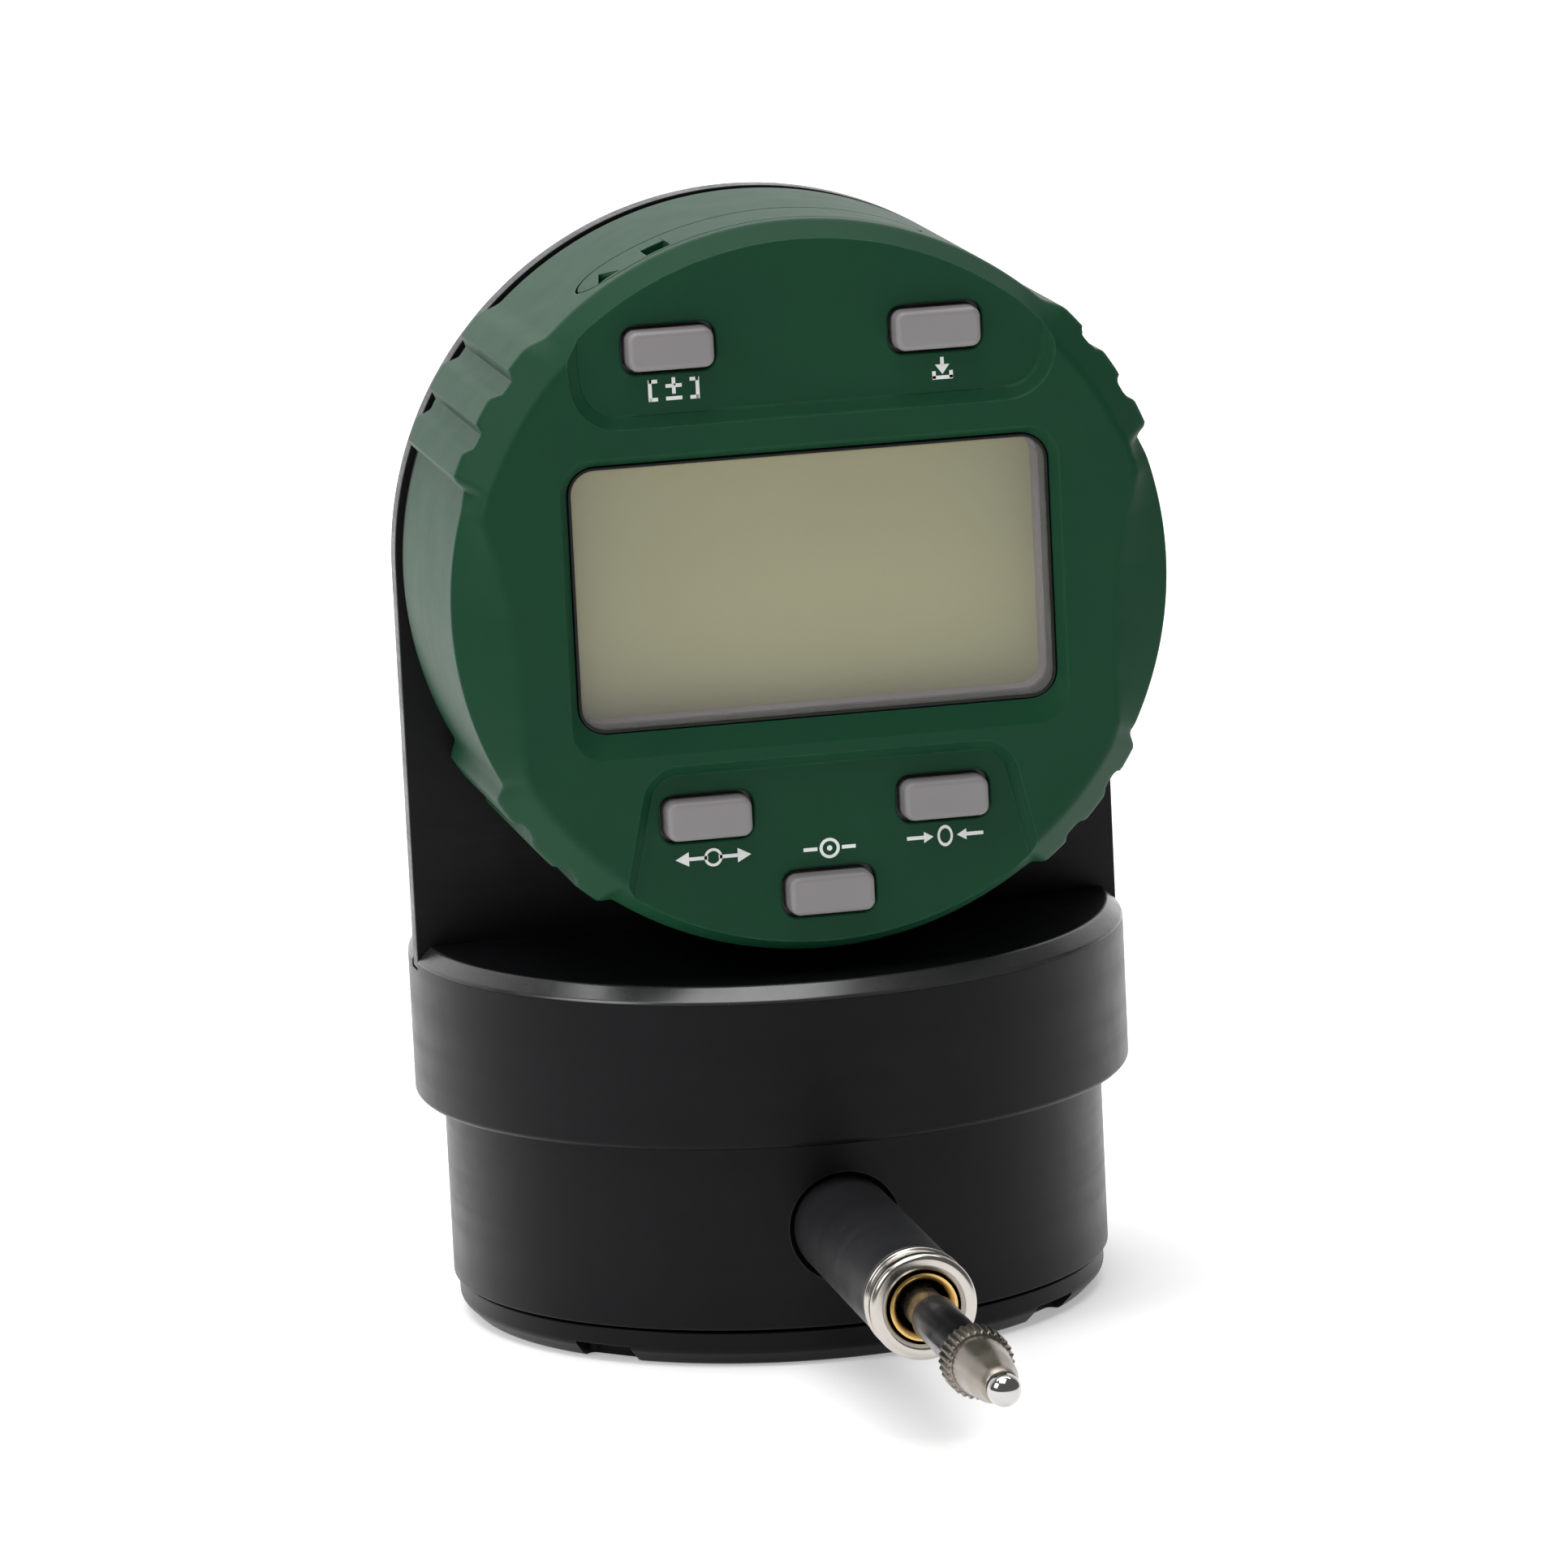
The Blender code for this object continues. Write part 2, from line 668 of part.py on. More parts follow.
def build_stem(mats):
    centre = (0, 0, PLUNGER_Z)
    edge = 0.0003
    profile = [
        (STEM_BORE, STEM_FRONT),
        (STEM_RADIUS - edge, STEM_FRONT),
        (STEM_RADIUS, STEM_FRONT + edge),
        (STEM_RADIUS, STEM_BACK - edge),
        (STEM_RADIUS - edge, STEM_BACK),
        (STEM_BORE, STEM_BACK),
    ]
    make_object("stem_tube", turned(profile, MIDDLE_STEPS, centre, True), mats["black_metal"])
    nose_back = STEM_FRONT - GAP
    profile = [
        (STEM_BORE, nose_back),
        (NOSE_RADIUS, nose_back),
        (NOSE_RADIUS, NOSE_FRONT + edge),
        (NOSE_RADIUS - edge, NOSE_FRONT),
        (STEM_BORE, NOSE_FRONT),
    ]
    make_object("nose_ring", turned(profile, MIDDLE_STEPS, centre, True), mats["chrome"])
    bush_front = NOSE_FRONT + 0.0002
    flare = 0.0003
    profile = [
        (FRONT_BUSH_BORE + flare, bush_front),
        (BUSH_RADIUS, bush_front),
        (BUSH_RADIUS, FRONT_BUSH_BACK),
        (FRONT_BUSH_BORE, FRONT_BUSH_BACK),
        (FRONT_BUSH_BORE, bush_front + flare),
    ]
    make_object("guide_bush", turned(profile, SMALL_STEPS, centre, True), mats["brass"])
    profile = pipe(REAR_BUSH_BORE, BUSH_RADIUS, REAR_BUSH_FRONT, STEM_BACK - GAP)
    make_object("rear_bush", turned(profile, SMALL_STEPS, centre, True), mats["brass"])


def build_spindle(mats):
    centre = (0, 0, PLUNGER_Z)
    step_y = SLEEVE_BACK + GAP
    profile = [
        (0.0, SPINDLE_FRONT),
        (SPINDLE_NECK_RADIUS, SPINDLE_FRONT),
        (SPINDLE_NECK_RADIUS, step_y),
        (SPINDLE_RADIUS, step_y),
        (SPINDLE_RADIUS, SPINDLE_BACK),
        (0.0, SPINDLE_BACK),
    ]
    make_object("spindle", turned(profile, SMALL_STEPS, centre, True), mats["steel"], "plunger_frame")
    bore = SPINDLE_NECK_RADIUS + GAP
    profile = pipe(bore, SLEEVE_RADIUS, SPINDLE_FRONT, SLEEVE_BACK)
    make_object("dust_sleeve", turned(profile, SMALL_STEPS, centre, True), mats["black_plastic"], "plunger_frame")
    build_contact(mats, centre)


def build_contact(mats, centre):
    """The knurled collar and cone, with a seat for the ball."""
    seat_radius = BALL_RADIUS + GAP
    profile = [
        (0.0, KNURL_BACK),
        (KNURL_RADIUS, KNURL_BACK),
        (KNURL_RADIUS, KNURL_FRONT),
        (KNURL_RADIUS - KNURL_DEPTH, KNURL_FRONT),
        (CONE_TIP_RADIUS, CONE_FRONT),
        (0.0, CONE_FRONT),
    ]
    bm = turned(profile, 2 * KNURL_TEETH, centre, True)
    for vert in bm.verts:
        radius = math.hypot(vert.co.x, vert.co.z - PLUNGER_Z)
        turn = math.atan2(vert.co.z - PLUNGER_Z, vert.co.x) / (math.tau / (2 * KNURL_TEETH))
        if radius > KNURL_RADIUS - KNURL_DEPTH / 2 and round(turn) % 2:
            shrink = (KNURL_RADIUS - KNURL_DEPTH * 1.6) / radius
            vert.co.x *= shrink
            vert.co.z = PLUNGER_Z + (vert.co.z - PLUNGER_Z) * shrink
    contact = make_object("contact_body", bm, mats["steel"], "plunger_frame")
    bm = bmesh.new()
    bmesh.ops.create_icosphere(bm, subdivisions=3, radius=seat_radius)
    bmesh.ops.translate(bm, verts=bm.verts, vec=(0, BALL_Y, PLUNGER_Z))
    combine(contact, "DIFFERENCE", [make_object("ball_seat_cutter", bm, None, "plunger_frame")])
    bm = bmesh.new()
    bmesh.ops.create_icosphere(bm, subdivisions=3, radius=BALL_RADIUS)
    bmesh.ops.translate(bm, verts=bm.verts, vec=(0, BALL_Y, PLUNGER_Z))
    make_object("contact_ball", bm, mats["chrome"], "plunger_frame")


def build_carrier(mats):
    """The block on the spindle's tail that carries the scale and slides on the guide rod."""
    bottom = 0.0092
    top = 0.0169
    bm = block(-0.004, 0.009, CARRIER_FRONT, CARRIER_BACK, bottom, top)
    carrier = make_object("scale_carrier", bm, mats["grey_plastic"], "plunger_frame")
    low = CARRIER_FRONT - CUT
    high = CARRIER_BACK + CUT
    centre = (0, 0, PLUNGER_Z)
    rod_centre = (GUIDE_ROD_X, 0, PLUNGER_Z)
    screw_y = (CARRIER_FRONT + CARRIER_BACK) / 2
    holes = [
        round_hole("carrier_bore_cutter", SPINDLE_RADIUS + GAP, low, high, centre, True, SMALL_STEPS),
        round_hole("carrier_rod_cutter", GUIDE_ROD_RADIUS + GAP, low, high, rod_centre, True),
        round_hole("carrier_screw_cutter", 0.0011, bottom - CUT, PLUNGER_Z - SPINDLE_RADIUS, (0, screw_y, 0)),
    ]
    combine(carrier, "DIFFERENCE", holes)
    bm = turned(rod(0.0008, bottom + 0.0001, PLUNGER_Z - SPINDLE_RADIUS - GAP), 12, (0, screw_y, 0))
    make_object("carrier_screw", bm, mats["steel"], "plunger_frame")
    bm = block(-0.0035, 0.0035, -0.016, 0.008, top + GAP, top + GAP + 0.001)
    make_object("encoder_scale", bm, mats["glass"], "plunger_frame")
    bm = turned(rod(GUIDE_ROD_RADIUS, STEM_BOSS_BACK + GAP, 0.0260), SCREW_STEPS, rod_centre, True)
    make_object("guide_rod", bm, mats["steel"])


def build_sensor(mats):
    low = DRUM_TOP + GAP
    bm = turned(rod(BOARD_RADIUS, low, low + BOARD_THICKNESS), MIDDLE_STEPS)
    make_object("sensor_board", bm, mats["board"])
    make_object("read_head", block(-0.005, 0.005, -0.008, 0.004, 0.0186, DRUM_TOP), mats["black_plastic"])


def build_spring(mats):
    """The coil between the carrier and the drum's rear wall."""
    front = CARRIER_BACK + GAP + SPRING_WIRE
    length = SPRING_BACK - SPRING_WIRE - front
    per_turn = 10
    count = SPRING_TURNS * per_turn + 1
    curve = bpy.data.curves.new("return_spring", "CURVE")
    curve.dimensions = "3D"
    curve.bevel_depth = SPRING_WIRE
    curve.bevel_resolution = 0
    curve.use_fill_caps = True
    spline = curve.splines.new("POLY")
    spline.points.add(count - 1)
    for index, point in enumerate(spline.points):
        angle = math.tau * index / per_turn
        y = front + length * index / (count - 1)
        x = SPRING_RADIUS * math.cos(angle)
        z = PLUNGER_Z + SPRING_RADIUS * math.sin(angle)
        point.co = (x, y, z, 1.0)
    curve.materials.append(mats["steel"])
    spring = bpy.data.objects.new("return_spring", curve)
    bpy.context.scene.collection.objects.link(spring)
    spring.parent = FRAMES["base_frame"]


# ---------------------------------------------------------------- display head


def smooth_step(value):
    value = min(max(value, 0.0), 1.0)
    return value * value * (3.0 - 2.0 * value)


def rim_radius(angle):
    """The housing's outer radius: plain above and below, four grooved grips, and lower sides."""
    lean = math.degrees(math.asin(math.sin(angle)))
    start, end, grooves = UPPER_GRIP if lean > 0.0 else LOWER_GRIP
    lean = abs(lean)
    plain = RIM_RADIUS if lean > (start + end) / 2 else SIDE_RADIUS
    rise = smooth_step((lean - start) / GRIP_RAMP) * smooth_step((end - lean) / GRIP_RAMP)
    radius = plain + (GRIP_RADIUS - plain) * rise
    for centre in grooves:
        if abs(lean - centre) < GROOVE_HALF_WIDTH:
            radius -= GROOVE_DEPTH * math.cos((lean - centre) / GROOVE_HALF_WIDTH * math.pi / 2)
    return radius


def ring_at(bm, edges, y, radius_of):
    """Extrudes a ring of edges to a new depth and radius, and returns the new edges."""
    grown = bmesh.ops.extrude_edge_only(bm, edges=edges)["geom"]
    for vert in [item for item in grown if isinstance(item, bmesh.types.BMVert)]:
        angle = math.atan2(vert.co.z - HEAD_Z, vert.co.x)
        radius = radius_of(angle)
        vert.co = (radius * math.cos(angle), y, HEAD_Z + radius * math.sin(angle))
    return [item for item in grown if isinstance(item, bmesh.types.BMEdge)]


def build_housing(mats):
    """A cup open at the back, drawn from its inner front wall round to its outer face."""
    bm = bmesh.new()
    start = bmesh.ops.create_circle(bm, cap_ends=False, segments=RIM_STEPS, radius=HOUSING_CAVITY)["verts"]
    for vert in start:
        vert.co = (vert.co.x, HOUSING_CAVITY_FRONT, HEAD_Z + vert.co.y)
    inner = list(bm.edges)
    edges = ring_at(bm, inner, HOUSING_BACK, lambda angle: HOUSING_CAVITY)
    edges = ring_at(bm, edges, HOUSING_BACK, rim_radius)
    edges = ring_at(bm, edges, HOUSING_SHOULDER, rim_radius)
    edges = ring_at(bm, edges, HOUSING_FRONT, lambda angle: rim_radius(angle) - FACE_CHAMFER)
    bmesh.ops.contextual_create(bm, geom=edges)
    bmesh.ops.contextual_create(bm, geom=inner)
    housing = make_object("head_housing", bm, mats["green_plastic"], "head_frame")
    additions = []
    holes = []
    wall_middle = (HOUSING_CAVITY_FRONT + HOUSING_FRONT) / 2
    boss_back = COVER_SPIGOT_FRONT - GAP
    for index, angle in enumerate(HOUSING_BOSS_ANGLES):
        x, z = on_circle(HOUSING_BOSS_PITCH, angle, HEAD_Z)
        bm = turned(rod(HOUSING_BOSS_RADIUS, wall_middle, boss_back), SMALL_STEPS, (x, 0, z), True)
        additions.append(make_object(f"housing_boss_{index + 1}", bm, None, "head_frame"))
        bm = turned(rod(0.0013, HOUSING_SCREW_TIP - GAP, boss_back + CUT), SCREW_STEPS, (x, 0, z), True)
        holes.append(make_object(f"housing_screw_cutter_{index + 1}", bm, None, "head_frame"))
    front = HOUSING_FRONT - CUT
    back = HOUSING_CAVITY_FRONT + CUT
    window = rounded(0.0, WINDOW_Z, WINDOW_WIDTH, WINDOW_HEIGHT, WINDOW_CORNER)
    holes.append(make_object("window_cutter", prism(window, front, back), None, "head_frame"))
    for name, x, z in BUTTONS:
        outline = rounded(x, z, BUTTON_WIDTH + 0.0009, BUTTON_HEIGHT + 0.0008, BUTTON_CORNER + GAP)
        holes.append(make_object(f"{name}_cutter", prism(outline, front, back), None, "head_frame"))
    width = 2 * (DRAWER_HALF_WIDTH + GAP)
    depth = DRAWER_BACK - DRAWER_FRONT + 2 * GAP
    slot = rounded(DRAWER_X, (DRAWER_FRONT + DRAWER_BACK) / 2, width, depth, depth / 2 - 1e-5, 5)
    slot_low = 0.096
    slot_high = HEAD_Z + GRIP_RADIUS + CUT
    holes.append(make_object("drawer_slot_cutter", prism(slot, slot_low, slot_high, "Z"), None, "head_frame"))
    combine(housing, "UNION", additions)
    combine(housing, "DIFFERENCE", holes)


def build_back_cover(mats):
    centre = (0, 0, HEAD_Z)
    spigot = HOUSING_CAVITY - GAP
    pocket = HUB_FLANGE + GAP
    bore = HUB_RADIUS + GAP
    profile = [
        (bore, COVER_BACK),
        (COVER_RADIUS, COVER_BACK),
        (COVER_RADIUS, COVER_FRONT),
        (spigot, COVER_FRONT),
        (spigot, COVER_SPIGOT_FRONT),
        (pocket, COVER_SPIGOT_FRONT),
        (pocket, COVER_FRONT),
        (bore, COVER_FRONT),
    ]
    cover = make_object("head_back_cover", turned(profile, LARGE_STEPS, centre, True), mats["black_plastic"], "head_frame")
    holes = []
    head_face = COVER_BACK - 0.0002
    for index, angle in enumerate(HOUSING_BOSS_ANGLES):
        x, z = on_circle(HOUSING_BOSS_PITCH, angle, HEAD_Z)
        name = f"cover_hole_cutter_{index + 1}"
        hole_end = COVER_SPIGOT_FRONT - CUT
        holes.append(sunk_hole(name, (x, 0, z), True, head_face, hole_end, 0.0020, 0.0010, "head_frame"))
        name = f"housing_screw_{index + 1}"
        sunk_screw(
            name, mats["steel"], (x, 0, z), True, head_face, HOUSING_SCREW_TIP, 0.0020, 0.0010, "head_frame"
        )
    combine(cover, "DIFFERENCE", holes)
    flange_back = COVER_FRONT - GAP
    profile = [
        (HUB_BORE, flange_back - 0.0022),
        (HUB_FLANGE, flange_back - 0.0022),
        (HUB_FLANGE, flange_back),
        (HUB_RADIUS, flange_back),
        (HUB_RADIUS, HUB_BACK),
        (HUB_BORE, HUB_BACK),
    ]
    make_object("pivot_hub", turned(profile, MIDDLE_STEPS, centre, True), mats["steel"], "head_frame")
    washer_front = PLATE_BACK + GAP
    profile = pipe(bore, NUT_RADIUS, washer_front, washer_front + 0.0004)
    make_object("friction_washer", turned(profile, MIDDLE_STEPS, centre, True), mats["steel"], "head_frame")
    nut_front = washer_front + 0.0004 + GAP
    profile = pipe(bore, NUT_RADIUS, nut_front, nut_front + 0.0018)
    make_object("hub_nut", turned(profile, MIDDLE_STEPS, centre, True), mats["steel"], "head_frame")


def build_display(mats):
    clear = 2 * GAP
    outer = rounded(0, WINDOW_Z, WINDOW_WIDTH - clear, WINDOW_HEIGHT - clear, WINDOW_CORNER - GAP)
    frame = make_object("lens_frame", prism(outer, FRAME_FRONT, FRAME_BACK), mats["black_plastic"], "head_frame")
    wide = rounded(
        0, WINDOW_Z, WINDOW_WIDTH + 2 * FRAME_FLANGE, WINDOW_HEIGHT + 2 * FRAME_FLANGE, WINDOW_CORNER
    )
    flange = make_object("frame_flange", prism(wide, FRAME_FLANGE_FRONT, FRAME_BACK), None, "head_frame")
    open_width = WINDOW_WIDTH - clear - 2 * FRAME_LIP
    open_height = WINDOW_HEIGHT - clear - 2 * FRAME_LIP
    inside = rounded(0, WINDOW_Z, open_width, open_height, WINDOW_CORNER - FRAME_LIP)
    opening = make_object(
        "frame_opening_cutter", prism(inside, FRAME_FRONT - CUT, FRAME_BACK + CUT), None, "head_frame"
    )
    combine(frame, "UNION", [flange])
    combine(frame, "DIFFERENCE", [opening])
    corner = WINDOW_CORNER - FRAME_LIP - GAP
    lens = rounded(0, WINDOW_Z, open_width - clear, open_height - clear, corner)
    make_object("window_lens", prism(lens, LENS_FRONT, LENS_BACK), mats["lens"], "head_frame")
    surround = make_object(
        "display_surround", prism(lens, SURROUND_FRONT, SURROUND_BACK), mats["grey_plastic"], "head_frame"
    )
    inner_width = open_width - clear - 2 * SURROUND_WALL
    inner_height = open_height - clear - 2 * SURROUND_WALL
    inside = rounded(0, WINDOW_Z, inner_width, inner_height, corner - SURROUND_WALL)
    opening = make_object(
        "surround_cutter", prism(inside, SURROUND_FRONT - CUT, SURROUND_BACK + CUT), None, "head_frame"
    )
    combine(surround, "DIFFERENCE", [opening])
    lcd = rounded(0, WINDOW_Z, LCD_WIDTH, LCD_HEIGHT, 0.0008, 2)
    make_object("lcd_module", prism(lcd, LCD_FRONT, LCD_BACK), mats["display"], "head_frame")


def build_boards(mats):
    rim = arc(0.0, HEAD_Z, MAIN_BOARD_RADIUS, 0, 360 - 360 / LARGE_STEPS, LARGE_STEPS - 1)
    outline = [(x, min(z, MAIN_BOARD_TOP)) for x, z in rim]
    board = prism(outline, MAIN_BOARD_FRONT, MAIN_BOARD_BACK)
    board = make_object("main_board", board, mats["board"], "head_frame")
    bites = []
    for index, angle in enumerate(HOUSING_BOSS_ANGLES):
        x, z = on_circle(HOUSING_BOSS_PITCH, angle, HEAD_Z)
        profile = rod(HOUSING_BOSS_RADIUS + GAP, MAIN_BOARD_FRONT - CUT, MAIN_BOARD_BACK + CUT)
        bm = turned(profile, SMALL_STEPS, (x, 0, z), True)
        bites.append(make_object(f"board_bite_{index + 1}", bm, None, "head_frame"))
    combine(board, "DIFFERENCE", bites)
    upper_outline = rounded(0, 0.0953, 0.0332, 0.0054, 0.001, 3)
    lower_outline = [(-0.0155, 0.0498), (-0.006, 0.0498), (-0.006, 0.0426), (0.006, 0.0426)]
    lower_outline += [(0.006, 0.0498), (0.0157, 0.0498), (0.0157, 0.0555), (-0.0155, 0.0555)]
    for name, outline, keys in (
        ("keypad_mat_upper", upper_outline, BUTTONS[:2]),
        ("keypad_mat_lower", lower_outline, BUTTONS[2:]),
    ):
        mat = make_object(name, prism(outline, MAT_FRONT, MAT_BACK), mats["rubber"], "head_frame")
        posts = []
        for key, x, z in keys:
            profile = rod(POST_RADIUS, (MAT_FRONT + MAT_BACK) / 2, MAIN_BOARD_FRONT - GAP)
            posts.append(make_object(f"{key}_post", turned(profile, SCREW_STEPS, (x, 0, z), True), None, "head_frame"))
        combine(mat, "UNION", posts)


def build_buttons(mats):
    for name, x, z in BUTTONS:
        frame = f"{name}_frame"
        make_frame(frame, (x, BUTTON_FRONT, z))
        flange_width = BUTTON_WIDTH + 2 * BUTTON_FLANGE
        flange_height = BUTTON_HEIGHT + 2 * BUTTON_FLANGE
        cap = rounded(x, z, BUTTON_WIDTH, BUTTON_HEIGHT, BUTTON_CORNER)
        wide = rounded(x, z, flange_width, flange_height, BUTTON_CORNER)
        button = make_object(name, prism(cap, BUTTON_FRONT, BUTTON_FLANGE_BACK), mats["grey_plastic"], frame)
        flange = prism(wide, BUTTON_FLANGE_FRONT, BUTTON_FLANGE_BACK)
        combine(button, "UNION", [make_object(f"{name}_flange", flange, None, frame)])


def build_drawer(mats):
    """The rim cover, the tray behind it, the coin cell and the two contacts."""
    depth = DRAWER_BACK - DRAWER_FRONT
    middle = (DRAWER_FRONT + DRAWER_BACK) / 2
    outline = rounded(DRAWER_X, middle, 2 * DRAWER_HALF_WIDTH, depth, depth / 2 - 1e-5, 5)
    bm = prism(outline, DRAWER_CHORD_Z, HEAD_Z + GRIP_RADIUS + CUT, "Z")
    cover = make_object("battery_cover", bm, mats["green_plastic"], "drawer_frame")
    rim = turned(rod(RIM_RADIUS, DRAWER_FRONT - CUT, DRAWER_BACK + CUT), RIM_STEPS, (0, 0, HEAD_Z), True)
    combine(cover, "INTERSECT", [make_object("rim_keeper", rim, None, "drawer_frame")])
    left = DRAWER_X - TRAY_HALF_WIDTH
    right = DRAWER_X + TRAY_HALF_WIDTH
    bm = block(left, right, TRAY_FRONT, DRAWER_BACK, TRAY_BOTTOM, TRAY_TOP)
    tray = make_object("battery_tray", bm, mats["black_plastic"], "drawer_frame")
    bm = turned(rod(COIN_RADIUS + GAP, TRAY_FRONT - CUT, DRAWER_BACK + CUT), 48, (DRAWER_X, 0, COIN_Z), True)
    pocket = make_object("coin_cutter", bm, None, "drawer_frame")
    mouth = 0.0088
    bm = block(DRAWER_X - mouth, DRAWER_X + mouth, TRAY_FRONT - CUT, DRAWER_BACK + CUT, 0.078, COIN_Z - 0.004)
    opening = make_object("tray_mouth_cutter", bm, None, "drawer_frame")
    combine(tray, "DIFFERENCE", [pocket, opening])
    edge = 0.0003
    profile = [
        (0.0, COIN_FRONT),
        (COIN_RADIUS - 4 * edge, COIN_FRONT),
        (COIN_RADIUS - edge, COIN_FRONT + 2 * edge),
        (COIN_RADIUS, COIN_FRONT + 3 * edge),
        (COIN_RADIUS, COIN_BACK - edge),
        (COIN_RADIUS - edge, COIN_BACK),
        (0.0, COIN_BACK),
    ]
    coin = turned(profile, MIDDLE_STEPS, (DRAWER_X, 0, COIN_Z), True)
    make_object("coin_cell", coin, mats["steel"], "drawer_frame")
    bm = block(DRAWER_X - 0.004, DRAWER_X + 0.004, MAIN_BOARD_BACK + GAP, -0.0200, 0.0778, 0.0784)
    make_object("contact_positive", bm, mats["brass"], "head_frame")
    profile = [
        (MAIN_BOARD_BACK + GAP, 0.0745),
        (-0.0189, 0.0745),
        (-0.0189, 0.0920),
        (-0.0193, 0.0920),
        (-0.0193, 0.0750),
        (MAIN_BOARD_BACK + GAP, 0.0750),
    ]
    bm = bmesh.new()
    verts = [bm.verts.new((DRAWER_X - 0.002, y, z)) for y, z in profile]
    grown = bmesh.ops.extrude_face_region(bm, geom=[bm.faces.new(verts)])["geom"]
    moved = [item for item in grown if isinstance(item, bmesh.types.BMVert)]
    bmesh.ops.translate(bm, verts=moved, vec=(0.004, 0, 0))
    make_object("contact_negative", bm, mats["brass"], "head_frame")


def main():
    clear_scene()
    mats = make_materials()
    make_frame("base_frame", (0.0, 0.0, 0.0))
    make_frame("plunger_frame", (0.0, BALL_Y, PLUNGER_Z))
    make_frame("head_frame", (0.0, PLATE_FRONT, HEAD_Z))
    make_frame("drawer_frame", (DRAWER_X, DRAWER_BACK, DRAWER_CHORD_Z))
    bpy.context.view_layer.update()
    build_base_disc(mats)
    build_drum(mats)
    build_flange(mats)
    build_plate(mats)
    build_bracket(mats)
    build_duct(mats)
    build_flex(mats)
    build_stem(mats)
    build_spindle(mats)
    build_carrier(mats)
    build_sensor(mats)
    build_spring(mats)
    build_housing(mats)
    build_back_cover(mats)
    build_display(mats)
    build_boards(mats)
    build_buttons(mats)
    build_drawer(mats)


if __name__ == "__main__":
    main()
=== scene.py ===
"""Finished pieces, finishes and studio for a digital indicator with a horizontal plunger.

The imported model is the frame: every piece made here takes its place from that model's nodes and
rides on one of its bodies. Units are metres, +Z is up, and the display and plunger face -Y.
"""

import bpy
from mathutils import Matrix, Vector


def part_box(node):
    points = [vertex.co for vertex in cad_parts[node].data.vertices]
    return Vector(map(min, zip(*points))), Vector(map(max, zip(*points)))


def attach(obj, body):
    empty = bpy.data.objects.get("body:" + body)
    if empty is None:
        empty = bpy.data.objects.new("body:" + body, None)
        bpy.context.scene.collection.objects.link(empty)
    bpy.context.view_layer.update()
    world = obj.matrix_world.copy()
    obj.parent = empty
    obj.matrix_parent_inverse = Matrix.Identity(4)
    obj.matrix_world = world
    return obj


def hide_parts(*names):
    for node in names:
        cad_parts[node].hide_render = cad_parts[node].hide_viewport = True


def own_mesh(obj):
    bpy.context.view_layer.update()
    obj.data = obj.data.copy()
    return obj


bl_info = {
    "name": "Digital Indicator Maker",
    "version": (1, 0, 0),
    "blender": (4, 5, 0),
    "location": "3D View > Sidebar > Indicator",
    "description": "Builds the finished pieces of a digital indicator around its packed model",
    "category": "Add Mesh",
}

import functools
import math

import bmesh
import bpy
from bpy.props import FloatProperty, FloatVectorProperty, IntProperty, PointerProperty
from bpy.types import Operator, Panel, PropertyGroup
from mathutils import Matrix, Vector

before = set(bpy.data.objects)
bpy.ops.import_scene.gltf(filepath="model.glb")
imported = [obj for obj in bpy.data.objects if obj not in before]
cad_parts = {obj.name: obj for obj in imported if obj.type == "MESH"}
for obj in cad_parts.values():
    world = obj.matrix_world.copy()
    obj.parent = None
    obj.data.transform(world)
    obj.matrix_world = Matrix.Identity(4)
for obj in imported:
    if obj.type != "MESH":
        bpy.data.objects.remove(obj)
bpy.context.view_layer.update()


def middle(node):
    low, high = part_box(node)
    return (low + high) / 2


HEAD_Z = middle("pivot_hub").z
PLUNGER_Z = middle("stem_tube").z
WINDOW_Z = middle("window_lens").z
HOUSING_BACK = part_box("head_housing")[1].y
HOUSING_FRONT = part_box("head_housing")[0].y
PLUNGER_AXIS = (0.0, 0.0, PLUNGER_Z)
HEAD_AXIS = (0.0, 0.0, HEAD_Z)

RIM_STEPS = 720  # facets round the housing's rim
HOLE_STEPS = 40  # facets round a screw's hole
MARKED = 0.00003  # how far a printed mark stands out of its panel, and reaches into it
SAME_POINT = 1e-7
HAIR = 0.00002  # how far outside a surface a cutter starts
LEAD_IN = 0.0002  # how much wider than its mouth a cutter starts
SCREW_HOLE = 0.00155  # radius
DRUM_BORE = 0.0275  # radius
LID_TOP = 0.0387  # height of the cutters that pass through the flange's roof

BASE_SCREWS = ("base_screw_1", "base_screw_2", "base_screw_3")
FLANGE_SCREWS = ("flange_screw_1", "flange_screw_2")
BRACKET_SCREWS = ("bracket_screw_1", "bracket_screw_2")
COVER_SCREWS = ("cover_screw_1", "cover_screw_2")
HOUSING_SCREWS = ("housing_screw_1", "housing_screw_2", "housing_screw_3", "housing_screw_4")


# ---------------------------------------------------------------- sizes and colours


def size(name, text, default):
    return FloatProperty(name=name, description=text, default=default, min=0.0, precision=5, unit="LENGTH")


def colour(name, text, default):
    return FloatVectorProperty(name=name, description=text, default=default, size=3, min=0.0, max=1.0, subtype="COLOR")


def share(name, text, default):
    return FloatProperty(name=name, description=text, default=default, min=0.0, max=1.0, subtype="FACTOR")


def whole(name, text, default, least):
    return IntProperty(name=name, description=text, default=default, min=least)


def amount(name, text, default, least=0.0, **kind):
    return FloatProperty(name=name, description=text, default=default, min=least, **kind)


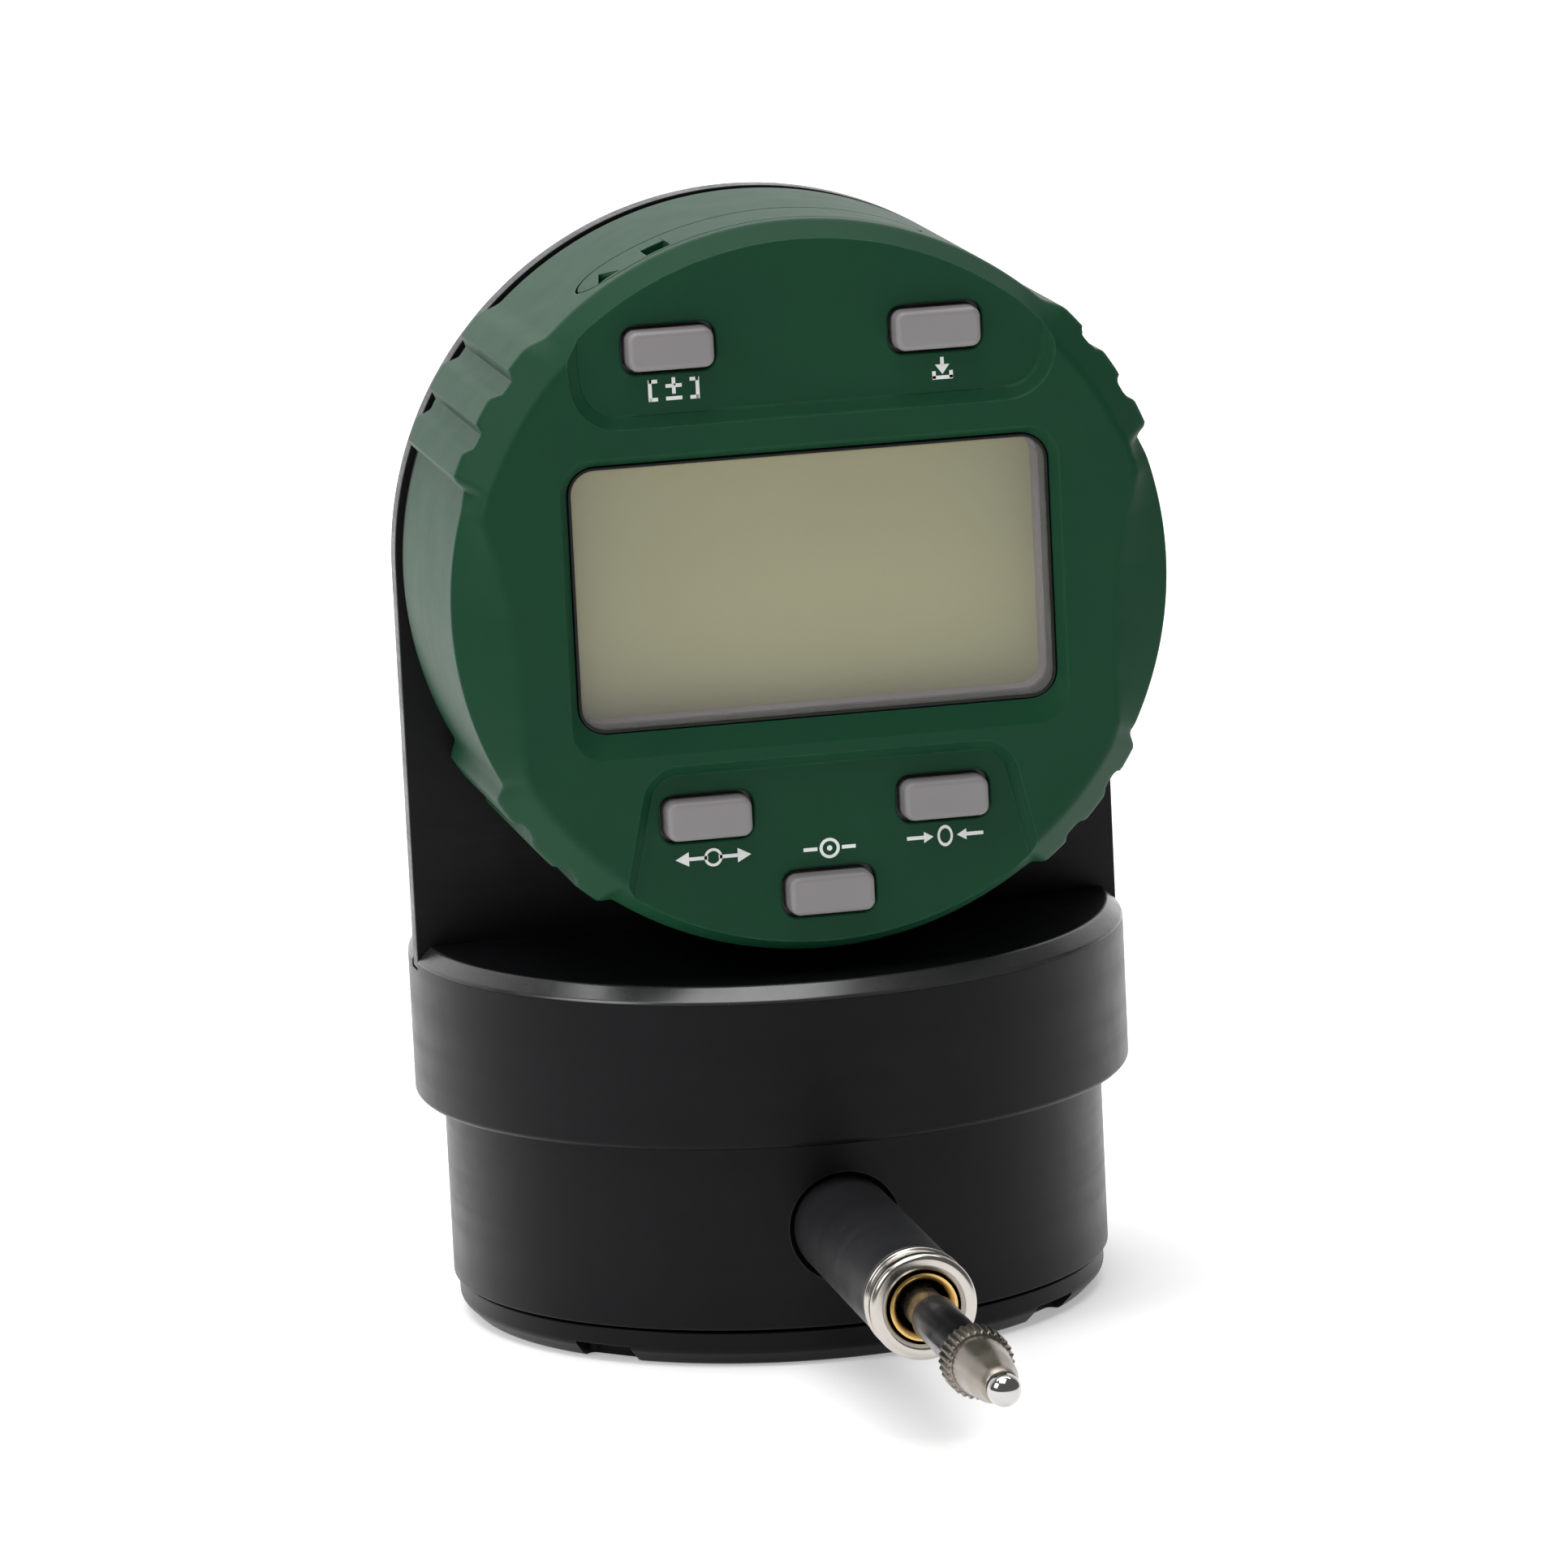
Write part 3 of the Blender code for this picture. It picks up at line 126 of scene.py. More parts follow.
class IndicatorFinishes(PropertyGroup):
    """Colours and gloss of the indicator's finishes."""

    green: colour("Moulded green", "Colour of the head's moulded housing", (0.0068, 0.050, 0.0225))
    green_gloss: share("Green roughness", "Roughness of the moulded green", 0.46)
    black: colour("Anodised black", "Colour of the turned and milled aluminium", (0.0055, 0.0055, 0.0065))
    black_gloss: share("Black roughness", "Roughness of the anodised black", 0.36)
    moulded_black: colour("Moulded black", "Colour of the black plastic pieces", (0.008, 0.008, 0.009))
    # The plate edge is lighter than the black as a painted reflection of the light on the left
    plate_edge_painted_reflection: colour("Plate edge", "Colour of the upright plate's cut edge", (0.028, 0.028, 0.030))
    button: colour("Button grey", "Colour of the five buttons", (0.235, 0.222, 0.226))
    display: colour("Display", "Colour of the blank display", (0.36, 0.345, 0.165))
    surround: colour("Display surround", "Colour of the wall between the lens and the display", (0.21, 0.18, 0.20))
    mark: colour("Marks", "Colour of the printed marks", (0.80, 0.82, 0.80))
    brass: colour("Brass", "Colour of the plunger's bushes", (0.66, 0.43, 0.15))
    steel: colour("Steel", "Colour of the bare steel pieces", (0.56, 0.55, 0.53))


class HeadSizes(PropertyGroup):
    """Sizes of the display head."""

    side_radius: size("Side radius", "Radius of the housing between its grips", 0.0335)
    rim_radius: size("Rim radius", "Radius of the housing above and below its grips", 0.0339)
    grip_radius: size("Grip radius", "Radius of the raised grip pads", 0.03475)
    groove_depth: size("Groove depth", "Depth of the finger grooves between the pads", 0.00095)
    groove_run: size("Groove run-out", "How far a groove runs past the shoulder", 0.0011)
    groove_end: size("Groove end", "Length over which a groove's front end rises", 0.0014)
    shoulder_ease: size("Shoulder rounding", "Rounding where the rim meets the face's chamfer", 0.00045)
    face_ease: size("Face rounding", "Rounding where the chamfer meets the face", 0.0005)
    cavity_radius: size("Cavity radius", "Inner radius of the housing", 0.0313)
    cavity_front: size("Cavity front", "Distance of the cavity's front wall from the plunger's plane", 0.0293)
    panel_depth: size("Upper panel depth", "How far the upper button panel is sunk", 0.00085)
    panel_slope: size("Upper panel slope", "Width of the upper panel's sloped border", 0.0012)
    lower_depth: size("Lower panel depth", "How far the lower button panel is sunk", 0.00095)
    lower_slope: size("Lower panel slope", "Width of the lower panel's sloped border", 0.0010)
    sill_depth: size("Window sill depth", "Depth of the chamfer round the window", 0.0010)
    mouth_ease: size("Hole rounding", "Rounding of the button holes' edges", 0.00022)
    cap_ease: size("Button rounding", "Rounding of the buttons' front edges", 0.00055)
    lens_lip: size("Lens lip", "Width of the black line round the lens", 0.0003)


class StandSizes(PropertyGroup):
    """Sizes of the turned base and the plate."""

    edge_ease: size("Edge break", "Rounding of the turned edges", 0.00018)
    plate_ease: size("Plate edge break", "Rounding of the plate's edges", 0.00015)
    duct_ease: size("Duct rounding", "Rounding of the duct cover's outer edge", 0.0010)
    turned_steps: whole("Turned steps", "Facets round each turned piece", 192, 24)


class PlungerSizes(PropertyGroup):
    """Sizes of the plunger and its contact point."""

    knurl_teeth: whole("Knurl teeth", "Teeth round the contact's collar", 30, 8)
    knurl_depth: size("Knurl depth", "Depth of the collar's teeth", 0.00030)
    spring_turns: whole("Spring turns", "Turns of the return spring", 8, 2)
    spring_wire: size("Spring wire", "Radius of the return spring's wire", 0.00025)


class StageSettings(PropertyGroup):
    """Floor, light and camera."""

    floor: colour("Floor", "Colour of the floor and the wall behind", (0.93, 0.93, 0.93))
    floor_glow: amount("Floor glow", "Light the paper gives of its own", 0.36)
    world_level: amount("Room light", "Level of the even light", 0.15)
    key_power: amount("Key light", "Power of the soft light on the left", 2.8, unit="POWER")
    top_power: amount("Top light", "Power of the soft light above", 5.2, unit="POWER")
    wall_power: amount("Wall light", "Power of the light on the wall behind", 18.0, unit="POWER")
    lens: amount("Lens", "Focal length in millimetres", 223.6, 1.0)


# ---------------------------------------------------------------- finishes


def node(tree, kind, inputs=(), **settings):
    """Adds a shader node with its settings, its input values and its links."""
    made = tree.nodes.new(kind)
    for key, value in settings.items():
        setattr(made, key, value)
    for key, value in dict(inputs).items():
        if isinstance(value, bpy.types.NodeSocket):
            tree.links.new(value, made.inputs[key])
        else:
            made.inputs[key].default_value = value
    return made


def noise(tree, place, scale, detail, rough=0.5):
    values = {"Vector": place, "Scale": scale, "Detail": detail, "Roughness": rough}
    return node(tree, "ShaderNodeTexNoise", values).outputs["Fac"]


def ranged(tree, value, low, high, start=0.35, end=0.65):
    values = {"Value": value, "From Min": start, "From Max": end, "To Min": low, "To Max": high}
    return node(tree, "ShaderNodeMapRange", values).outputs["Result"]


def math_of(tree, operation, first, second):
    return node(tree, "ShaderNodeMath", {0: first, 1: second}, operation=operation).outputs[0]


def tinted(tree, factor, first, second):
    mix = node(tree, "ShaderNodeMix", {"Factor": factor}, data_type="RGBA")
    colours = [socket for socket in mix.inputs if socket.type == "RGBA"]
    for socket, value in zip(colours, (first, second)):
        if isinstance(value, bpy.types.NodeSocket):
            tree.links.new(value, socket)
        else:
            socket.default_value = (*value, 1.0)
    return [socket for socket in mix.outputs if socket.type == "RGBA"][0]


def object_place(tree):
    return node(tree, "ShaderNodeTexCoord").outputs["Object"]


def vector_math(tree, operation, *values):
    return node(tree, "ShaderNodeVectorMath", enumerate(values), operation=operation)


def turning_lines(tree, place, axis):
    """A value that changes only along the lathe's axis and outwards from it, as a turning tool's lines do."""
    if axis == "Y":
        shifted = vector_math(tree, "ADD", place, (0.0, 0.0, -PLUNGER_Z)).outputs[0]
        flat = vector_math(tree, "MULTIPLY", shifted, (1.0, 0.0, 1.0)).outputs[0]
    else:
        flat = vector_math(tree, "MULTIPLY", place, (1.0, 1.0, 0.0)).outputs[0]
    along = node(tree, "ShaderNodeSeparateXYZ", {0: place}).outputs[axis]
    out = vector_math(tree, "LENGTH", flat).outputs["Value"]
    return math_of(tree, "ADD", out, along)


def line_noise(tree, along, scale, detail):
    values = {"W": along, "Scale": scale, "Detail": detail}
    return node(tree, "ShaderNodeTexNoise", values, noise_dimensions="1D").outputs["Fac"]


def edge_mask(tree, reach):
    """White on outer edges, from how far the rounded normal leans away from the face's own."""
    soft = node(tree, "ShaderNodeBevel", {"Radius": reach}, samples=4).outputs["Normal"]
    own = node(tree, "ShaderNodeNewGeometry").outputs["Normal"]
    facing = vector_math(tree, "DOT_PRODUCT", soft, own).outputs["Value"]
    return ranged(tree, facing, 1.0, 0.0, 0.80, 0.995)


# How fine each pattern is, in repeats per metre, and how far in from an edge the lightened edge reaches, which is part
# painted highlight and part wear
TONE_PATCHES = 70.0
GLOSS_PATCHES = 260.0
SCUFF_AND_GLINT_SPOTS = 900.0
TOOL_LINES = 5200.0
TOOL_BANDS = 420.0
EDGE_WEAR_AND_HIGHLIGHT_REACH = 0.00025
BUMP_STRENGTH = 0.55


def surface(name, tone, roughness, metallic=0.0, grain=0.0003, depth=0.00001, mottle=0.10, spread=0.06,
            edge=0.0, edge_tone=None, lines=None, line_depth=0.0, brushed=None, **sockets):
    """A finish with its own grain, tone variation, gloss variation and lightened edges, which are part painted
    highlight and part wear.
    """
    material = bpy.data.materials.new(name)
    material.use_nodes = True
    material.diffuse_color = (*tone, 1.0)
    tree = material.node_tree
    shader = tree.nodes["Principled BSDF"]
    shader.inputs["Metallic"].default_value = metallic
    for key, value in sockets.items():
        shader.inputs[key.replace("_", " ")].default_value = value
    place = object_place(tree)
    patches = noise(tree, place, TONE_PATCHES, 4.0, 0.6)
    dark = tuple(c * (1.0 - mottle) for c in tone)
    light = tuple(min(1.0, c * (1.0 + mottle)) for c in tone)
    base = tinted(tree, ranged(tree, patches, 0.0, 1.0), dark, light)
    fine = noise(tree, place, 1.0 / grain, 2.0)
    gloss = ranged(tree, noise(tree, place, GLOSS_PATCHES, 5.0, 0.65), roughness - spread, roughness + spread)
    height = fine
    reach = depth
    if lines:
        along = turning_lines(tree, place, lines)
        cut = line_noise(tree, along, TOOL_LINES, 4.0)
        wide = line_noise(tree, along, TOOL_BANDS, 2.0)
        gloss = math_of(tree, "ADD", gloss, ranged(tree, wide, -0.015, 0.02))
        height = math_of(tree, "ADD", math_of(tree, "MULTIPLY", fine, 0.35), cut)
        reach = line_depth
    if brushed:
        stretched = node(tree, "ShaderNodeMapping", {"Vector": place, "Scale": brushed}).outputs[0]
        strokes = noise(tree, stretched, 1.0, 5.0, 0.6)
        gloss = math_of(tree, "ADD", gloss, ranged(tree, strokes, -0.03, 0.04))
        height = math_of(tree, "ADD", math_of(tree, "MULTIPLY", fine, 0.3), strokes)
        reach = line_depth
    # Lightened outer edges: a painted highlight with some wear, broken up by spots
    if edge > 0.0:
        edge_wear_and_highlight = edge_tone or tuple(min(1.0, c * 1.8 + 0.02) for c in tone)
        scuffs_and_glints = ranged(tree, noise(tree, place, SCUFF_AND_GLINT_SPOTS, 3.0), 0.35, 1.0)
        mask = math_of(tree, "MULTIPLY", math_of(tree, "MULTIPLY", edge_mask(tree, EDGE_WEAR_AND_HIGHLIGHT_REACH), scuffs_and_glints), edge)
        base = tinted(tree, mask, base, edge_wear_and_highlight)
    bump = node(tree, "ShaderNodeBump", {"Height": height, "Strength": BUMP_STRENGTH, "Distance": reach})
    tree.links.new(base, shader.inputs["Base Color"])
    tree.links.new(gloss, shader.inputs["Roughness"])
    tree.links.new(bump.outputs["Normal"], shader.inputs["Normal"])
    return material


def display_glass(name, tone):
    """The blank display: a greenish grey under a satin polariser, with painted light that makes it a little lighter
    towards its foot.
    """
    material = surface(name, tone, 0.34, mottle=0.02, grain=0.00016, depth=0.0000001, spread=0.015)
    tree = material.node_tree
    shader = tree.nodes["Principled BSDF"]
    shader.inputs["Specular IOR Level"].default_value = 0.3
    base = shader.inputs["Base Color"].links[0].from_socket
    # Painted light: the display is made lighter towards its foot
    high = node(tree, "ShaderNodeSeparateXYZ", {0: object_place(tree)}).outputs["Z"]
    rise = ranged(tree, high, 0.0, 0.5, WINDOW_Z + 0.012, WINDOW_Z - 0.012)
    painted_light_tone = tuple(min(1.0, c * 1.10) for c in tone)
    tree.links.new(tinted(tree, rise, base, painted_light_tone), shader.inputs["Base Color"])
    return material


def clear_lens(name):
    """The display's clear cover, nearly all see-through, with a faint haze."""
    material = surface(name, (0.75, 0.76, 0.75), 0.07, mottle=0.02, grain=0.0008, depth=0.000001, spread=0.02)
    material.node_tree.nodes["Principled BSDF"].inputs["Alpha"].default_value = 0.07
    material.surface_render_method = "BLENDED"
    return material


FINISHES = {}


def make_finishes():
    """Makes every finish once, from the colours in the panel."""
    tones = bpy.context.scene.indicator_finishes
    green = tuple(tones.green)
    black = tuple(tones.black)
    moulded = tuple(tones.moulded_black)
    steel = tuple(tones.steel)
    # Each finish's edge and edge_tone set its lightened edges, which are part painted highlight and part wear
    made = {
        "green": surface("moulded_green", green, tones.green_gloss, grain=0.00022, depth=0.000010, mottle=0.04,
                         spread=0.015, edge=0.75, edge_tone=(0.035, 0.14, 0.08), Specular_IOR_Level=0.12),
        "button": surface("button_grey", tuple(tones.button), 0.40, grain=0.00018, depth=0.000006, mottle=0.03,
                          spread=0.02, edge=0.35, edge_tone=(0.5, 0.47, 0.48), Specular_IOR_Level=0.4),
        "turned": surface("anodised_turned", black, tones.black_gloss, 0.25, grain=0.00016, depth=0.000006,
                          spread=0.02, lines="Z", line_depth=0.0000012, edge=0.6, edge_tone=(0.06, 0.06, 0.065),
                          Specular_IOR_Level=0.14),
        # A lighter copy of the anodised black: a painted highlight for the flange's chamfer where it faces the light
        "chamfer": surface("anodised_chamfer_painted_highlight", (0.018, 0.018, 0.019), 0.26, grain=0.00016, depth=0.000002,
                           spread=0.03, edge=0.5, edge_tone=(0.09, 0.09, 0.095), Specular_IOR_Level=0.8),
        "stem": surface("anodised_stem", (0.016, 0.016, 0.018), 0.36, grain=0.0002, depth=0.000001, spread=0.02,
                        lines="Y", line_depth=0.0000006, edge=0.5, edge_tone=(0.12, 0.12, 0.125),
                        Specular_IOR_Level=0.85),
        "plate": surface("ground_plate", black, 0.44, 0.2, grain=0.00020, depth=0.000006,
                         spread=0.03, brushed=(90.0, 2500.0, 2500.0), line_depth=0.000003, edge=0.35,
                         edge_tone=(0.05, 0.05, 0.055), Specular_IOR_Level=0.2),
        # Lighter than the plate's black: a painted reflection on the cut edge
        "plate_edge_painted_reflection": surface("plate_edge_painted_reflection", tuple(tones.plate_edge_painted_reflection), 0.38, 0.6, grain=0.00020, depth=0.000006,
                              brushed=(2500.0, 90.0, 2500.0), line_depth=0.000005, mottle=0.15),
        "moulded": surface("moulded_black", moulded, 0.48, grain=0.00025, depth=0.000014, edge=0.30,
                           edge_tone=(0.05, 0.05, 0.052), Specular_IOR_Level=0.4),
        "lens_frame": surface("lens_frame_black", (0.006, 0.006, 0.007), 0.42, grain=0.0002, depth=0.000005,
                              Specular_IOR_Level=0.25),
        "surround": surface("surround_grey", tuple(tones.surround), 0.55, grain=0.0002, depth=0.000006, mottle=0.05),
        "chrome": surface("bright_chrome", (0.50, 0.47, 0.43), 0.19, 1.0, grain=0.0003, depth=0.000001, mottle=0.04,
                          spread=0.04, lines="Y", line_depth=0.0000012),
        "ball": surface("polished_ball", (0.50, 0.49, 0.48), 0.10, 1.0, grain=0.0004, depth=0.0000006, mottle=0.03,
                        spread=0.025),
        "steel": surface("bare_steel", steel, 0.27, 1.0, grain=0.0002, depth=0.000003, mottle=0.08, edge=0.3,
                         edge_tone=(0.78, 0.78, 0.77)),
        "cone": surface("turned_steel", (0.27, 0.24, 0.205), 0.34, 1.0, grain=0.0002, depth=0.000002, mottle=0.06,
                        lines="Y", line_depth=0.0000015),
        "knurl": surface("knurled_steel", (0.15, 0.125, 0.105), 0.34, 1.0, grain=0.0002, depth=0.000004, mottle=0.14,
                         edge=0.8, edge_tone=(0.82, 0.78, 0.72)),
        "sleeve": surface("dust_sleeve_black", (0.007, 0.007, 0.008), 0.20, grain=0.0003, depth=0.000001,
                          lines="Y", line_depth=0.0000008),
        "brass": surface("brass_bush", tuple(tones.brass), 0.24, 1.0, grain=0.0002, depth=0.000002, mottle=0.08,
                         lines="Y", line_depth=0.000003),
        "contact": surface("contact_brass", tuple(tones.brass), 0.3, 1.0, grain=0.0003, depth=0.000003, mottle=0.08),
        "spring": surface("spring_wire", (0.50, 0.50, 0.50), 0.25, 1.0, grain=0.0002, depth=0.000002),
        "board": surface("circuit_board", (0.014, 0.085, 0.040), 0.36, grain=0.0005, depth=0.000008, mottle=0.25,
                         brushed=(1400.0, 1400.0, 1400.0), line_depth=0.000006),
        "rubber": surface("keypad_rubber", (0.045, 0.045, 0.05), 0.72, grain=0.0004, depth=0.000012, mottle=0.12),
        "film": surface("flex_film", (0.42, 0.19, 0.04), 0.32, grain=0.0006, depth=0.000003,
                        brushed=(2200.0, 60.0, 60.0), line_depth=0.000008),
        "scale": surface("scale_glass", (0.33, 0.37, 0.35), 0.10, grain=0.0008, depth=0.000001,
                         brushed=(60.0, 4200.0, 60.0), line_depth=0.000004),
        "carrier": surface("carrier_grey", (0.20, 0.19, 0.19), 0.45, grain=0.0003, depth=0.00001, edge=0.25),
        "cell": surface("cell_steel", (0.66, 0.66, 0.65), 0.22, 1.0, grain=0.0002, depth=0.000003, mottle=0.05,
                        brushed=(1600.0, 1600.0, 120.0), line_depth=0.000002),
        "mark": surface("printed_white", tuple(tones.mark), 0.45, grain=0.00015, depth=0.000003, mottle=0.04),
        "display": display_glass("display_glass", tuple(tones.display)),
        "lens": clear_lens("clear_lens"),
    }
    FINISHES.update(made)


# ---------------------------------------------------------------- shaping


def smooth(value):
    value = min(max(value, 0.0), 1.0)
    return value * value * (3.0 - 2.0 * value)


def tidy(bm):
    bmesh.ops.remove_doubles(bm, verts=bm.verts, dist=SAME_POINT)
    bmesh.ops.recalc_face_normals(bm, faces=bm.faces)
    return bm


def moved_verts(grown):
    return [item for item in grown["geom"] if isinstance(item, bmesh.types.BMVert)]


def new_edges(grown):
    return [item for item in grown["geom"] if isinstance(item, bmesh.types.BMEdge)]


def move(bm, vec):
    bmesh.ops.translate(bm, verts=bm.verts, vec=vec)


def swing(bm, angle, axis):
    bmesh.ops.rotate(bm, verts=bm.verts, cent=(0, 0, 0), matrix=Matrix.Rotation(angle, 3, axis))


def extrude(bm, vec):
    """Extrudes a flat shape into a solid."""
    grown = bmesh.ops.extrude_face_region(bm, geom=bm.faces[:])
    bmesh.ops.translate(bm, verts=moved_verts(grown), vec=vec)


def end_face(bm, toward=1.0):
    """The face furthest along +Y, or along -Y where toward is -1."""
    return max(bm.faces, key=lambda f: toward * f.calc_center_median().y)


def step_face(bm, face, inward, onward):
    """Shrinks a face and moves it on, with walls back to where it was."""
    return bmesh.ops.inset_region(bm, faces=[face], thickness=inward, depth=onward, use_boundary=True,
                                  use_even_offset=True)["faces"]


def round_corners(bm, verts, reach, steps):
    """Rounds the corners of a flat outline or a profile."""
    bmesh.ops.bevel(bm, geom=verts, offset=reach, offset_type="OFFSET", segments=steps, profile=0.5,
                    affect="VERTICES", material=-1, clamp_overlap=True)


def soften(bm, edges, reach, steps=3):
    """Rounds solid edges."""
    if edges:
        bmesh.ops.bevel(bm, geom=edges, offset=reach, offset_type="OFFSET", segments=steps, profile=0.5,
                        affect="EDGES", material=-1, clamp_overlap=True)


def sharp_edges(bm, degrees=40.0):
    least = math.radians(degrees)
    return [edge for edge in bm.edges if len(edge.link_faces) == 2 and edge.calc_face_angle(0.0) > least]


def turned(profile, steps, centre=(0.0, 0.0, 0.0), along_y=False):
    """A profile of (radius, height, rounding) corners, rounded and then turned a full circle."""
    bm = bmesh.new()
    verts = [bm.verts.new((corner[0], 0.0, corner[1])) for corner in profile]
    for pair in zip(verts, verts[1:]):
        bm.edges.new(pair)
    if profile[0][0] > 0.0:
        bm.edges.new((verts[-1], verts[0]))
    eases = {}
    for vert, corner in zip(verts, profile):
        if len(corner) > 2:
            eases.setdefault(corner[2], []).append(vert)
    for reach, chosen in eases.items():
        round_corners(bm, chosen, reach, 4)
    bmesh.ops.spin(bm, geom=bm.verts[:] + bm.edges[:], cent=(0, 0, 0), axis=(0, 0, 1), dvec=(0, 0, 0),
                   angle=math.tau, steps=steps, use_merge=True)
    if along_y:
        swing(bm, -math.pi / 2, "X")
    move(bm, centre)
    return tidy(bm)


def rod(radius, low, high):
    """The profile of a plain rod or hole."""
    return [(0.0, low), (radius, low), (radius, high), (0.0, high)]


def at_nodes(names, profile, steps=HOLE_STEPS, along_y=False):
    """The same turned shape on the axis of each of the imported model's nodes that are named."""
    shapes = []
    for name in names:
        where = middle(name)
        centre = (where.x, 0.0, where.z) if along_y else (where.x, where.y, 0.0)
        shapes.append(turned(profile, steps, centre, along_y))
    return shapes


def flat_outline(points, corner, steps, y):
    """A face in the plane y whose (x, z) corners are rounded. corner is one reach, or one for each point."""
    bm = bmesh.new()
    verts = [bm.verts.new((x, y, z)) for x, z in points]
    bm.faces.new(verts)
    reaches = corner if isinstance(corner, (list, tuple)) else [corner] * len(verts)
    for reach in sorted(set(reaches)):
        if reach > 0.0:
            round_corners(bm, [v for v, r in zip(verts, reaches) if r == reach], reach, steps)
    bm.faces.ensure_lookup_table()
    return bm


def span(x0, z0, x1, z1):
    """The corners of a rectangle, from two of them."""
    return [(x0, z0), (x1, z0), (x1, z1), (x0, z1)]


def box_corners(x, z, width, height):
    """The corners of a rectangle, from its middle and its size."""
    return span(x - width / 2, z - height / 2, x + width / 2, z + height / 2)


def stepped(points, corner, y, toward, length, steps, corner_steps=8):
    """A block that starts as an outline at y, runs back by length, and steps inwards and on. toward is 1 or -1."""
    bm = flat_outline(points, corner, corner_steps, y)
    extrude(bm, (0.0, -toward * length, 0.0))
    bmesh.ops.recalc_face_normals(bm, faces=bm.faces)
    face = end_face(bm, toward)
    for inward, onward in steps:
        step_face(bm, face, max(inward, SAME_POINT), onward)
    return tidy(bm)


def rounding_steps(reach, count):
    """Steps for a rounded outer edge: a quarter circle, inwards and onwards."""
    turns = [math.pi / 2 * index / count for index in range(count + 1)]
    return [(reach * (math.cos(a) - math.cos(b)), reach * (math.sin(b) - math.sin(a)))
            for a, b in zip(turns, turns[1:])]


def mouth_steps(reach, deep):
    """Steps for a cutter whose mouth is rounded: a quarter circle, then straight in."""
    quarter = [(onward, inward) for inward, onward in rounding_steps(reach, 4)]
    return [(LEAD_IN, HAIR), *quarter, (0.0, deep)]


def slope_steps(width, depth):
    """Steps for a panel's sloped border with a soft line above and below."""
    ease = 0.00016
    half = ease / 2
    soft = depth * 0.07
    knee = depth * 0.24
    return [
        (LEAD_IN, HAIR),
        (half, soft),
        (half, knee - soft),
        (width - 2 * ease, depth - 2 * knee),
        (half, knee - soft),
        (half, soft),
    ]


def prism(points, low, high, axis="Y", corner=0.0, corner_steps=6):
    """An outline extruded along Y, where points are (x, z), or along Z, where they are (x, y)."""
    bm = flat_outline(points, corner, corner_steps, 0.0)
    extrude(bm, (0.0, high - low, 0.0))
    move(bm, (0.0, low, 0.0))
    if axis == "Z":
        for vert in bm.verts:
            vert.co = (vert.co.x, vert.co.z, vert.co.y)
    return tidy(bm)


def scratch(bm):
    """A helper object for a Boolean."""
    mesh = bpy.data.meshes.new("helper")
    bm.to_mesh(mesh)
    bm.free()
    obj = bpy.data.objects.new("helper", mesh)
    bpy.context.scene.collection.objects.link(obj)
    return obj


def carved(bm, cutters=(), joins=(), keeps=()):
    """The shape with each join added, each cutter taken away, and what is outside each keep removed."""
    body = scratch(bm)
    helpers = [body]
    for operation, shapes in (("UNION", joins), ("DIFFERENCE", cutters), ("INTERSECT", keeps)):
        for shape in shapes:
            helpers.append(scratch(shape))
            modifier = body.modifiers.new(operation, "BOOLEAN")
            modifier.operation = operation
            modifier.solver = "EXACT"
            modifier.object = helpers[-1]
    bpy.context.view_layer.update()
    mesh = bpy.data.meshes.new_from_object(body.evaluated_get(bpy.context.evaluated_depsgraph_get()))
    result = bmesh.new()
    result.from_mesh(mesh)
    bpy.data.meshes.remove(mesh)
    for helper in helpers:
        data = helper.data
        bpy.data.objects.remove(helper)
        bpy.data.meshes.remove(data)
    if not result.faces:
        raise RuntimeError("a Boolean left nothing")
    return result


def place_piece(name, bm, finishes, body, stands_for=(), crease=32.0):
    """Turns a bmesh into a finished piece at the origin that rides on a body."""
    bmesh.ops.remove_doubles(bm, verts=bm.verts, dist=SAME_POINT)
    bmesh.ops.dissolve_degenerate(bm, edges=bm.edges, dist=1e-8)
    bmesh.ops.holes_fill(bm, edges=[edge for edge in bm.edges if edge.is_boundary], sides=0)
    bmesh.ops.recalc_face_normals(bm, faces=bm.faces)
    mesh = bpy.data.meshes.new(name)
    bm.to_mesh(mesh)
    bm.free()
    for finish in finishes:
        mesh.materials.append(FINISHES[finish])
    mesh.shade_smooth()
    mesh.set_sharp_from_angle(angle=math.radians(crease))
    obj = bpy.data.objects.new(name, mesh)
    bpy.context.scene.collection.objects.link(obj)
    even = obj.modifiers.new("even_shading", "WEIGHTED_NORMAL")
    even.keep_sharp = True
    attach(obj, body)
    if stands_for:
        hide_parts(*stands_for)
    return obj


def dress(nodes, finish):
    """Gives carried-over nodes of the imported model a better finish."""
    for name in nodes:
        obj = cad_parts[name]
        if not obj.material_slots:
            obj.data.materials.append(FINISHES[finish])
        for held in obj.material_slots:
            held.material = FINISHES[finish]


# ---------------------------------------------------------------- turned base


def build_base_disc(sizes):
    ease = sizes.edge_ease
    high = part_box("base_disc")[1].z
    profile = [
        (0.0, 0.0),
        (0.0293, 0.0, ease * 2),
        (0.0308, 0.0015, ease * 2),
        (0.0308, 0.0034, ease),
        (0.0272, 0.0034),
        (0.0272, high),
        (0.0, high),
    ]
    cutters = []
    for index in range(4):
        notch = prism(box_corners(0.0306, 0.0, 0.0054, 0.0062), -0.002, 0.0017, "Z", 0.0006)
        swing(notch, math.radians(45 + 90 * index), "Z")
        cutters.append(notch)
    cone = [(0.0, -0.002), (0.0031, -0.002), (0.0031, 0.0002), (SCREW_HOLE, 0.00175), (SCREW_HOLE, 0.008), (0.0, 0.008)]
    cutters += at_nodes(BASE_SCREWS, cone)
    disc = carved(turned(profile, sizes.turned_steps), cutters)
    place_piece("foot_disc", disc, ["turned"], "base", ["base_disc"])


